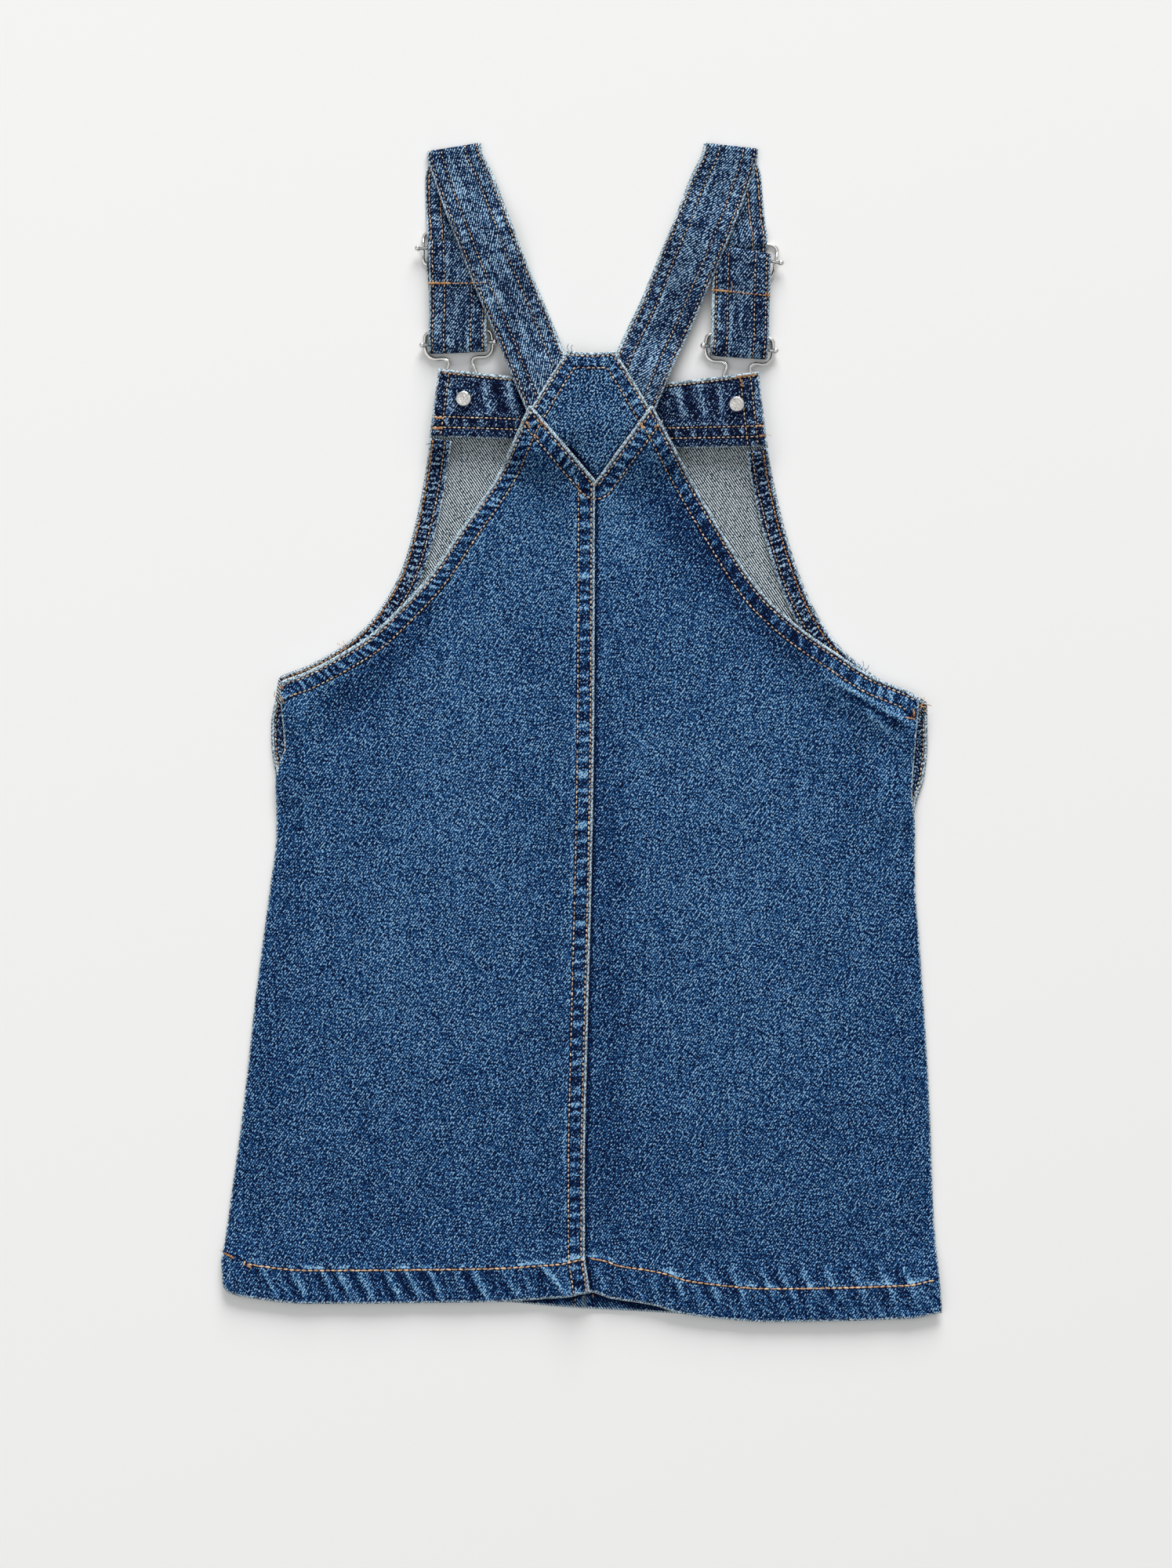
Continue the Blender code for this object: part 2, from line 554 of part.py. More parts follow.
def strap_loop(strap):
    """A strap's sections from its tucked end, round the bar and the pin, to its shoulder."""
    slider, run, tip = strap["slider"], strap["run"], strap["tip"]
    pin, shoulder = strap["pin"], strap["shoulder"]
    half = SLIDER_HEIGHT / 2
    over_bar = mixed(slider, tip, half / (slider[1] - tip[1]))
    tucked = [
        section(tip, TUCKED_TIP),
        section(mixed(tip, over_bar, 0.5), TUCKED_MIDDLE),
        section(over_bar, TUCKED_OVER_FRAME),
        section(mixed(over_bar, slider, 0.55), TUCKED_DIP),
        section(slider, TUCKED_AT_BAR),
    ]
    upper = [
        section(slider, UPPER_AT_BAR),
        section(over_bar, UPPER_OVER_FRAME),
        section(mixed(tip, over_bar, 0.5), UPPER_MIDDLE),
        section(tip, UPPER_TIP),
        section(mixed(tip, pin, 0.45), UPPER_NEAR_PIN),
        section(pin, UPPER_AT_PIN, shift=TOP_BAR_RISE),
        section(pin, UPPER_AT_PIN),
    ]
    main = [
        section(pin, LOW_RUN),
        section(pin, OVER_BUCKLE, shift=TOP_BAR_RISE),
        section(mixed(pin, tip, 0.55), RUN_NEAR_PIN),
        section(tip, LOW_RUN),
        section(mixed(tip, run, 0.4), RUN_NEAR_FRAME),
        section(run, OVER_FRAME, SQUEEZED, -half - BAR_REST),
        section(run, OVER_FRAME, SQUEEZED, -half + BAR_REST),
        section(run, LOW_RUN, SQUEEZED),
        section(run, OVER_FRAME, SQUEEZED, half - BAR_REST),
        section(run, OVER_FRAME, SQUEEZED, half + BAR_REST),
        section(run, LOW_RUN, shift=half + ABOVE_SLIDER),
        section(mixed(run, shoulder, 0.55), LOW_RUN),
        section(mixed(run, shoulder, 0.8), LOW_RUN, NEAR_SHOULDER_WIDTH),
        section(shoulder, LOW_RUN, SHOULDER_WIDTH, SHOULDER_START),
    ]
    round_bar = fold(slider, TUCKED_AT_BAR, UPPER_AT_BAR, SLIDER_FOLD, STRAP_WIDTH, 1)
    round_pin = fold(pin, LOW_RUN, UPPER_AT_PIN, PIN_FOLD, STRAP_WIDTH, -1)
    return tucked + round_bar + upper + round_pin[::-1] + main


def strap_back(strap, heights):
    """A strap's sections from the shoulder over everything below it to its hidden end at the yoke."""
    shoulder = strap["shoulder"]
    places = [shoulder] + strap["back"]
    sections = [section(shoulder, LOW_RUN + 2 * FOLD_RADIUS, SHOULDER_WIDTH, SHOULDER_RETURN)]
    for start, end in zip(places, places[1:]):
        steps = max(2, round(math.dist(start[:2], end[:2]) / BACK_RUN_STEP))
        for step in range(1, steps + 1):
            flat = section(mixed(start, end, step / steps), 0.0)
            sections.append([(x, y, height_at(heights, x, y) + GAP + STRAP_WALL / 2) for x, y, _ in flat])
    return sections


def ribbon(name, sections):
    """Makes a strap from its sections, which lie on the ribbon's middle."""
    piece = sheet(name, sections, STRAP_WALL, FACE_BLUE)
    piece.modifiers["Wall"].offset = 0.0
    bpy.context.view_layer.update()
    return piece


def lower_loops(pile):
    """The straps as far as the shoulder, put on the pile but not kept."""
    for name, strap in STRAPS.items():
        guide = ribbon(f"{name}_guide", strap_loop(strap))
        pile.add(guide)
        remove(guide)


def straps(pile):
    """The two straps, whole."""
    heights = pile.cover(STIFF_REACH)
    made = []
    for name, strap in STRAPS.items():
        turned = fold(strap["shoulder"], LOW_RUN, LOW_RUN + 2 * FOLD_RADIUS, FOLD_RADIUS, SHOULDER_WIDTH, 1)
        sections = strap_loop(strap) + turned + strap_back(strap, heights)
        made.append(ribbon(f"strap_{name}", sections))
    for piece in made:
        pile.add(piece)


def remove(piece):
    """Removes an object and its mesh."""
    mesh = piece.data
    bpy.data.objects.remove(piece)
    bpy.data.meshes.remove(mesh)


def wire(name, points, radius):
    """A bent wire through points, joined end to end."""
    curve = bpy.data.curves.new(name, "CURVE")
    curve.dimensions = "3D"
    curve.bevel_depth = radius * MM
    curve.bevel_resolution = WIRE_RESOLUTION
    spline = curve.splines.new("POLY")
    spline.points.add(len(points) - 1)
    for target, point in zip(spline.points, points):
        target.co = (*[value * MM for value in point], 1.0)
    spline.use_cyclic_u = True
    return finish(bpy.data.objects.new(name, curve), NICKEL, 0.25, 1.0)


def turned_piece(name, profile, place, rotation, steps):
    """A turned shape: a profile of (radius, height), from its top down its outer side, screwed about Z."""
    mesh = bpy.data.meshes.new(name)
    points = [(radius * MM, 0.0, height * MM) for radius, height in profile]
    mesh.from_pydata(points, [(i, i + 1) for i in range(len(points) - 1)], [])
    piece = bpy.data.objects.new(name, mesh)
    screw = piece.modifiers.new("Turn", "SCREW")
    screw.steps = steps
    screw.render_steps = steps
    screw.use_merge_vertices = True
    screw.merge_threshold = MERGE_DISTANCE
    piece.location = [value * MM for value in place]
    piece.rotation_euler = rotation
    return finish(piece, NICKEL, 0.25, 1.0)


def pin(name, place, height, length):
    """A straight bar with a ball at each end, lying across a strap."""
    x, y, tilt = place
    half = length / 2
    reach = math.sqrt(BALL_RADIUS ** 2 - PIN_RADIUS ** 2)
    ball = []
    last = math.pi - math.asin(PIN_RADIUS / BALL_RADIUS)
    for step in range(BALL_STEPS + 1):
        angle = last * step / BALL_STEPS
        ball.append((BALL_RADIUS * math.sin(angle), half + BALL_RADIUS * math.cos(angle)))
    ball[-1] = (PIN_RADIUS, half - reach)
    profile = ball + [(radius, -z) for radius, z in reversed(ball)]
    rotation = (0.0, math.pi / 2, math.radians(tilt))
    return turned_piece(name, profile, (x, y, height), rotation, PIN_SIDES)


def slider(name, place):
    """A slider's frame: a rounded rectangle of wire, its sides bowed up under the middle bar."""
    x, y, tilt = place
    turn = math.radians(tilt)
    half_width, half_height = SLIDER_WIDTH / 2, SLIDER_HEIGHT / 2
    side_rise = BAR_HEIGHT - PIN_RADIUS - GAP - 2 * SLIDER_WIRE - GAP
    points = []
    for across, along, start in ((1, 1, 0), (-1, 1, 90), (-1, -1, 180), (1, -1, 270)):
        for step in range(CORNER_STEPS + 1):
            angle = math.radians(start) + math.pi / 2 * step / CORNER_STEPS
            px = across * (half_width - SLIDER_CORNER) + SLIDER_CORNER * math.cos(angle)
            py = along * (half_height - SLIDER_CORNER) + SLIDER_CORNER * math.sin(angle)
            points.append((px, py, 0.0))
        if across * along < 0:
            side = across * half_width
            points += [(side, along * SLIDER_SIDE, side_rise), (side, -along * SLIDER_SIDE, side_rise)]
    base = GAP / 2 + SLIDER_WIRE
    placed = []
    for px, py, rise in points:
        turned_x = x + px * math.cos(turn) - py * math.sin(turn)
        turned_y = y + px * math.sin(turn) + py * math.cos(turn)
        placed.append((turned_x, turned_y, base + rise))
    return wire(name, placed, SLIDER_WIRE)


def buckle(name, place, button):
    """A buckle's wire, from its top bar down both sides to the loop that holds the button's neck."""
    x, y, tilt = place
    half = BUCKLE_PATH[1:-1]
    mirrored = [(-px, py, rise) for px, py, rise in reversed(half)]
    path = BUCKLE_PATH[:1] + half + BUCKLE_PATH[-1:] + mirrored
    turn = math.radians(tilt)
    placed = []
    for px, py, rise in path:
        turned_x = x + px * math.cos(turn) - py * math.sin(turn)
        turned_y = y + px * math.sin(turn) + py * math.cos(turn)
        slide = min(max(-py / BUCKLE_LOOP, 0.0), 1.0)
        straight_x = x + BUCKLE_LOOP * math.sin(turn)
        straight_y = y - BUCKLE_LOOP * math.cos(turn)
        turned_x += (button[0] - straight_x) * slide
        turned_y += (button[1] - straight_y) * slide
        placed.append((turned_x, turned_y, between(BUCKLE_LOW, BUCKLE_HIGH, rise)))
    return wire(name, placed, BUCKLE_WIRE)


def button(name, place):
    """A button, face down: a flat head with a neck that stands up through the buckle."""
    profile = [
        (0.0, NECK_HEIGHT), (NECK_RADIUS, NECK_HEIGHT), (NECK_RADIUS, HEAD_HEIGHT),
        (HEAD_RADIUS - HEAD_SLANT, HEAD_HEIGHT), (HEAD_RADIUS, HEAD_HEIGHT - HEAD_SLANT),
        (HEAD_RADIUS, HEAD_SLANT), (HEAD_RADIUS - HEAD_SLANT, 0.0), (0.0, 0.0),
    ]
    return turned_piece(name, profile, (*place, 0.0), (0.0, 0.0, 0.0), BUTTON_SIDES)


def rivet(name, place, height):
    """The cap that holds the button, on the inside of the bib."""
    profile = [(RIVET_RADIUS * share, RIVET_HEIGHT - drop) for share, drop in RIVET_DOME]
    profile += [(RIVET_RADIUS, 0.0), (0.0, 0.0)]
    return turned_piece(name, profile, (*place, height), (0.0, 0.0, 0.0), RIVET_SIDES)


def hardware(pile):
    """The sliders, buckles and buttons, which lie under the cloth."""
    made = []
    for side, strap in STRAPS.items():
        made.append(slider(f"slider_{side}", strap["slider"]))
        made.append(pin(f"slider_bar_{side}", strap["slider"], BAR_HEIGHT, SLIDER_BAR_LENGTH))
        made.append(buckle(f"buckle_{side}", strap["pin"], BUTTONS[side]))
        made.append(pin(f"buckle_pin_{side}", strap["pin"], PIN_HEIGHT, PIN_LENGTH))
        made.append(button(f"button_{side}", BUTTONS[side]))
    bpy.context.view_layer.update()
    for piece in made:
        pile.add(piece)


def rivets(pile):
    """The caps of the buttons, seated on the bib's facing."""
    for side, (x, y) in BUTTONS.items():
        heights = pile.cover(RIVET_RADIUS + RIVET_REACH)
        rivet(f"rivet_{side}", (x, y), height_at(heights, x, y) + GAP)


def clear():
    """Empties the scene."""
    for old in list(bpy.data.objects):
        bpy.data.objects.remove(old)


clear()
DRESS = bpy.data.collections.new("overall_dress")
bpy.context.scene.collection.children.link(DRESS)
bpy.context.scene.unit_settings.length_unit = "MILLIMETERS"

pile_of_pieces = Pile()
hardware(pile_of_pieces)
front_halves(pile_of_pieces)
bib_facing(pile_of_pieces)
rivets(pile_of_pieces)
front_strips(pile_of_pieces)
lower_loops(pile_of_pieces)
straps(pile_of_pieces)
back_patch(pile_of_pieces)
back_halves(pile_of_pieces)
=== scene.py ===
"""The looks of a child's denim overall dress, laid out flat on its front with its back up.

Sizes in the tables are in millimetres, in the model's own frame: X runs from the wearer's left to the right,
Y from the hem to the shoulders, and Z up from the surface that the dress lies on. Each piece of cloth is a
thin shell laid over the pile of the pieces below it. Its seams, hems and creases are in its mesh, and its
finish reads the distance from its own sewn edges.
"""

import logging
import math
from dataclasses import dataclass, field
from enum import Enum
from functools import cache, partial
from typing import Callable, Iterable, Sequence

import bpy
import numpy as np
from bpy.types import ID, Material, Mesh, Node, NodeOutputs, NodeSocket, NodeTree, Object
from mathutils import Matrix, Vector


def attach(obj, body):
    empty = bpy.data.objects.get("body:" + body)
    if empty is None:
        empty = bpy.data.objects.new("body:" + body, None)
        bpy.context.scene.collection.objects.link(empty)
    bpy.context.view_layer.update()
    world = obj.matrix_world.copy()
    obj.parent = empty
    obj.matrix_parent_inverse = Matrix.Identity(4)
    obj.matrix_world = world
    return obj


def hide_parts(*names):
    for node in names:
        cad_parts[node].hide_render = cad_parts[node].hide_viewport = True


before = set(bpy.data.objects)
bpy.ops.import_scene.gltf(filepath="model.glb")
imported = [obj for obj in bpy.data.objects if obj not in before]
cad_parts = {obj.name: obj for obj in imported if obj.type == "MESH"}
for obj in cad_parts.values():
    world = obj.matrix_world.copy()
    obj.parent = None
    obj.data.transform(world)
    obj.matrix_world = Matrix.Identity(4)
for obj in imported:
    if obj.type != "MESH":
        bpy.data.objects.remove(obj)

LOG = logging.getLogger("overall_dress")
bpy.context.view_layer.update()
MM = 0.001
Array = np.ndarray
Pair = tuple[float, float]
Table = Sequence[Pair]  # rows of (step, value)
Placing = Callable[[Array, Array], tuple[Array, Array]]
Place = tuple[float, float, float]
Stops = tuple[tuple[float, tuple[int, int, int]], ...]

# --- Outlines, shared with the model that the scene dresses. A side or a seam lists (y, x) from the hem up,
# and a hem or a top edge (x, y) from left to right.

BACK_LEFT_SIDE: Table = (
    (-291, -182.9), (-278, -183.7), (-266.5, -182.1), (-239, -178.9), (-191, -172.6), (-132, -166),
    (-78.5, -158.9), (-50.5, -155.7), (-24, -156.1), (-15.3, -154.1), (-9.7, -151.4), (15, -153.3),
    (25.1, -153.7), (30.3, -141.3), (39.5, -123.7), (49.1, -108.5), (61.9, -94.5), (79.5, -78.1),
    (103.1, -62.1), (132.7, -42.1), (148, -34.9), (165.5, -26.9),
)
BACK_RIGHT_SIDE: Table = (
    (-291, 183.5), (-278, 182.7), (-246.5, 179.5), (-186.5, 177.1), (-106.5, 172.1), (-76.5, 169.9),
    (-50, 169.9), (-31.7, 168.3), (-6, 169.9), (16.3, 171.5), (29.1, 146.7), (40.7, 129.1), (53.9, 110.3),
    (71.5, 91.5), (103.1, 70.7), (133.5, 53.1), (144, 47.4), (165.5, 35.9),
)
BACK_SEAM: Table = (
    (-291, 4.3), (-285, 3.4), (-269, 1.5), (-226.5, 1.5), (-146.5, 3.1), (-66.5, 5.1), (13.5, 6.3),
    (127.5, 6.7),
)
BACK_HEM: Table = (
    (-182.9, -282.5), (-179.7, -285.7), (-171, -288.1), (-139, -291.3), (-49, -290.5), (-8, -287.7),
    (3.9, -285.3), (14.7, -288.5), (34.7, -291.7), (50, -296.1), (63, -298.1), (95, -300.6), (167, -298.9),
    (183.5, -295.7),
)
FRONT_LEFT_SIDE: Table = (
    (-291, -181.9), (-266.5, -181.1), (-216.5, -174.7), (-162.5, -169.1), (-106.5, -161.9), (-50.5, -155),
    (-22.5, -156.1), (-6, -158.4), (4, -158.5), (18, -156.1), (27.5, -154.5), (33.5, -140.5),
    (43.5, -122.5), (53.5, -110.5), (63.5, -102.5), (83.5, -91.7), (117.5, -82.5), (149.5, -77.3),
    (181, -72.9),
)
FRONT_RIGHT_SIDE: Table = (
    (-291, 182.2), (-266.5, 180.1), (-226.5, 177.7), (-146.5, 173.5), (-76.5, 168.9), (-50, 168.9),
    (-39.3, 169.9), (-21.7, 174.9), (-6, 176.3), (14.3, 176.1), (23.5, 157.5), (33.5, 142.7), (43.5, 131.5),
    (53.5, 123.9), (73.5, 113.5), (109.5, 102), (141.5, 95.3), (181, 90),
)
FRONT_SEAM: Table = ((-291, 1.1), (181, 5.1))
FRONT_HEM: Table = (
    (-181, -283.5), (-137, -288.9), (-49, -290.1), (-7, -293.3), (36, -295.7), (95, -298.9), (143, -298.5),
    (181, -293.7),
)
BIB_TOP: Table = ((-73, 184.7), (-35, 180.7), (5, 176.7), (42, 177.9), (90, 183.1))
FACING_LOW: Table = ((-77, 149.9), (-35, 148.7), (5, 146.3), (48, 144.3), (93.5, 145.1))
PATCH_LEFT: Table = ((119, 5), (152.7, -26), (165.2, -25.3), (180, -16.4), (193.6, -7.7))
PATCH_RIGHT: Table = ((119, 9), (152.7, 37.8), (165.2, 33.9), (180, 25.4), (193.6, 16.7))
V_TIP = (6.9, 127.9)
V_LEFT_TOP = (-25.7, 165.5)
V_RIGHT_TOP = (34.9, 165.5)
BACK_TOP = 165.3
BIB_LINE = 181.0
BIB_FADE = 146.0
HEM_LINE = -291.0
HEM_FADE = -200.0
HEM_DEPTH = 17.0
BACK_FEET = (25.1, 16.3)  # the levels of the back's armholes' feet, left and right
FRONT_FEET = (27.5, 14.3)
BUTTONS = ((-60.1, 169.3), (78.7, 166.5))

# The straps: (x, y, tilt in degrees) of the named places on the middle of each ribbon
STRAPS: dict[str, dict] = {
    "left": {
        "shoulder": (-65.5, 296.7, 9.3), "slider": (-63.3, 246.3, 0), "run": (-64.5, 246.3, 0),
        "tip": (-63, 223, 0), "pin": (-62.9, 197.9, 2.6),
        "back": [(-58.3, 277.5, 17), (-49.3, 253.5, 21), (-34.1, 215.9, 22), (-26.5, 197.5, 22),
                 (-10.6, 158, 22)],
    },
    "right": {
        "shoulder": (75.9, 297.4, -6.3), "slider": (81.4, 242.4, -10), "run": (79.7, 242.6, -1),
        "tip": (80.9, 221, -6), "pin": (80.3, 195.5, -4),
        "back": [(69.4, 277.5, -17), (59.8, 253.5, -22), (43.9, 215.9, -22.9), (35.5, 197.5, -22.9),
                 (20.2, 161, -22.9)],
    },
}


def smooth(table: Table, at: Array | float) -> Array:
    """Reads a table along a smooth curve that never swings past its rows.

    Args:
        table: rows of (step, value), by rising step.
        at: the steps to read at.

    Returns:
        The values there, in the shape of at.
    """
    steps, values = np.array(table, float).T
    slopes = np.diff(values) / np.diff(steps)
    turning = slopes[:-1] * slopes[1:] > 0
    middle = 2 * slopes[:-1] * slopes[1:] / np.where(turning, slopes[:-1] + slopes[1:], 1)
    tangents = np.concatenate([slopes[:1], np.where(turning, middle, 0), slopes[-1:]])
    at = np.clip(np.asarray(at, float), steps[0], steps[-1])
    row = np.clip(np.searchsorted(steps, at) - 1, 0, len(steps) - 2)
    width = steps[row + 1] - steps[row]
    t = (at - steps[row]) / width
    start = (1 + 2 * t) * (1 - t) ** 2 * values[row] + t * (1 - t) ** 2 * width * tangents[row]
    return start + t * t * (3 - 2 * t) * values[row + 1] + t * t * (t - 1) * width * tangents[row + 1]


def eased(value: Array, low: float, high: float) -> Array:
    """0 below low, 1 above high, and a soft step between."""
    t = np.clip((value - low) / (high - low), 0.0, 1.0)
    return t * t * (3 - 2 * t)


def stacked(*parts: Array | float) -> Array:
    """Points or directions from their coordinates, which may be arrays or single numbers."""
    return np.stack(np.broadcast_arrays(*parts), axis=-1)


def run_of(line: Array) -> Array:
    """How far along a line each of its points is."""
    return np.concatenate([[0.0], np.cumsum(np.linalg.norm(np.diff(line, axis=0), axis=1))])


def unit(ways: Array) -> Array:
    """Directions at a length of 1."""
    return ways / np.maximum(np.linalg.norm(ways, axis=-1), 1e-9)[..., None]


def wander(x: Array, y: Array, size: float, seed: int) -> Array:
    """A soft unevenness from -1 to 1.

    Args:
        x: places, in mm.
        y: places, in mm.
        size: about how far its humps are apart, in mm.
        seed: which unevenness.

    Returns:
        A smooth random value at each place.
    """
    dice = np.random.default_rng(seed)
    total = np.zeros(np.shape(x))
    for _ in range(6):
        turn, phase = dice.uniform(0, 2 * math.pi, 2)
        wave = 2 * math.pi / (size * dice.uniform(0.7, 1.6))
        total = total + np.sin(wave * (x * math.cos(turn) + y * math.sin(turn)) + phase)
    return total / 3.0


class Path:
    """A line through points, in mm, that knows how far any place is from it and how far along it."""

    CHUNK = 4000

    def __init__(self, points: Iterable[Sequence[float]]) -> None:
        """Takes the line's points in order; the cloth lies on its left."""
        self.points = np.array(list(points), float)[:, :2]
        self.steps = np.diff(self.points, axis=0)
        self.lengths = np.maximum(np.hypot(*self.steps.T), 1e-9)
        self.starts = np.concatenate([[0.0], np.cumsum(self.lengths)])

    @classmethod
    def up(cls, table: Table, low: float, high: float, step: float = 2.5) -> "Path":
        """The part of a side, listed as (y, x), between two levels."""
        levels = np.linspace(low, high, max(2, round((high - low) / step) + 1))
        return cls(stacked(smooth(table, levels), levels))

    @classmethod
    def across(cls, table: Table, low: float, high: float, step: float = 2.5) -> "Path":
        """The part of a hem or a top edge, listed as (x, y), between two places."""
        places = np.linspace(low, high, max(2, round(abs(high - low) / step) + 1))
        return cls(stacked(places, smooth(table, places)))

    def turned(self) -> "Path":
        """The same line, run the other way."""
        return Path(self.points[::-1])

    def at(self, along: Array) -> Array:
        """The points at these distances along the line."""
        return np.stack([np.interp(along, self.starts, column) for column in self.points.T], axis=-1)

    def inward(self, distance: float, start: float = 0.0, end: float = 0.0, step: float = 1.0) -> "Path":
        """A line beside this one.

        Args:
            distance: how far to its left, in mm.
            start: how much of its beginning to leave out.
            end: how much of its end to leave out.
            step: between its points.

        Returns:
            The new line.
        """
        along = np.arange(start, self.starts[-1] - end + 1e-6, step)
        points, ahead, behind = self.at(along), self.at(along + 1.5), self.at(along - 1.5)
        way = ahead - behind
        way /= np.maximum(np.hypot(*way.T), 1e-9)[:, None]
        return Path(points + distance * stacked(-way[:, 1], way[:, 0]))

    def measure(self, x: Array, y: Array) -> tuple[Array, Array]:
        """How far places are from the line, and how far along it is nearest to each.

        Args:
            x: places, in mm.
            y: places, in mm.

        Returns:
            The distance and the length along, each in the shape of x.
        """
        flat = stacked(np.ravel(x), np.ravel(y))
        distance, along = np.empty(len(flat)), np.empty(len(flat))
        for low in range(0, len(flat), self.CHUNK):
            part = flat[low:low + self.CHUNK]
            ahead = part[:, None, :] - self.points[None, :-1, :]
            share = np.clip((ahead * self.steps).sum(2) / self.lengths ** 2, 0.0, 1.0)
            apart = ahead - share[:, :, None] * self.steps
            square = (apart ** 2).sum(2)
            best = square.argmin(1)
            row = np.arange(len(part))
            distance[low:low + self.CHUNK] = np.sqrt(square[row, best])
            along[low:low + self.CHUNK] = self.starts[best] + share[row, best] * self.lengths[best]
        return distance.reshape(np.shape(x)), along.reshape(np.shape(x))


class Pile:
    """The top of everything that is laid down so far, as heights in mm on a square grid."""

    CELL = 0.75
    HALF_WIDTH = 205.0
    HALF_LENGTH = 325.0

    def __init__(self) -> None:
        """Starts with the bare surface."""
        self.top = np.zeros((round(2 * self.HALF_LENGTH / self.CELL) + 1,
                             round(2 * self.HALF_WIDTH / self.CELL) + 1))

    def drop(self, points: Array) -> None:
        """Raises the pile to these points, an array of (x, y, z)."""
        column = np.rint((points[:, 0] + self.HALF_WIDTH) / self.CELL).astype(int)
        row = np.rint((points[:, 1] + self.HALF_LENGTH) / self.CELL).astype(int)
        np.maximum.at(self.top, (row, column), points[:, 2])

    def lay(self, grid: Array) -> None:
        """Raises the pile to a grid of points (rows, columns, 3), filled in between."""
        for shares in ((0.0, 0.0), (0.5, 0.0), (0.0, 0.5), (0.5, 0.5)):
            rows = grid[:-1] + (grid[1:] - grid[:-1]) * shares[0]
            self.drop((rows[:, :-1] + (rows[:, 1:] - rows[:, :-1]) * shares[1]).reshape(-1, 3))
        self.drop(grid.reshape(-1, 3))

    def ball(self, points: Array, radius: float) -> None:
        """Raises the pile to a round wire along points."""
        offsets = np.arange(-radius, radius + 0.01, self.CELL / 2)
        for dx in offsets:
            for dy in offsets:
                if math.hypot(dx, dy) <= radius:
                    lift = math.sqrt(radius ** 2 - dx * dx - dy * dy)
                    self.drop(points + np.array([dx, dy, lift]))

    def cover(self, reach: float) -> Array:
        """The heights of a cloth that bridges the pile, never below it and never bent sharply."""
        heights = self.top
        half = round(reach / 2 / self.CELL)
        for combine, cells in ((np.max, 2 * half + 2), (np.mean, half), (np.mean, half)):
            for axis in (0, 1):
                moved = [np.roll(heights, step, axis) for step in range(-cells, cells + 1)]
                heights = combine(moved, axis=0)
        return heights

    @classmethod
    def read(cls, heights: Array, x: Array, y: Array) -> Array:
        """Reads heights between the cells of a grid."""
        column = np.clip((np.asarray(x) + cls.HALF_WIDTH) / cls.CELL, 0, heights.shape[1] - 2)
        row = np.clip((np.asarray(y) + cls.HALF_LENGTH) / cls.CELL, 0, heights.shape[0] - 2)
        c, r = column.astype(int), row.astype(int)
        s, t = column - c, row - r
        low = heights[r, c] * (1 - s) + heights[r, c + 1] * s
        high = heights[r + 1, c] * (1 - s) + heights[r + 1, c + 1] * s
        return low * (1 - t) + high * t


# --- Finishes


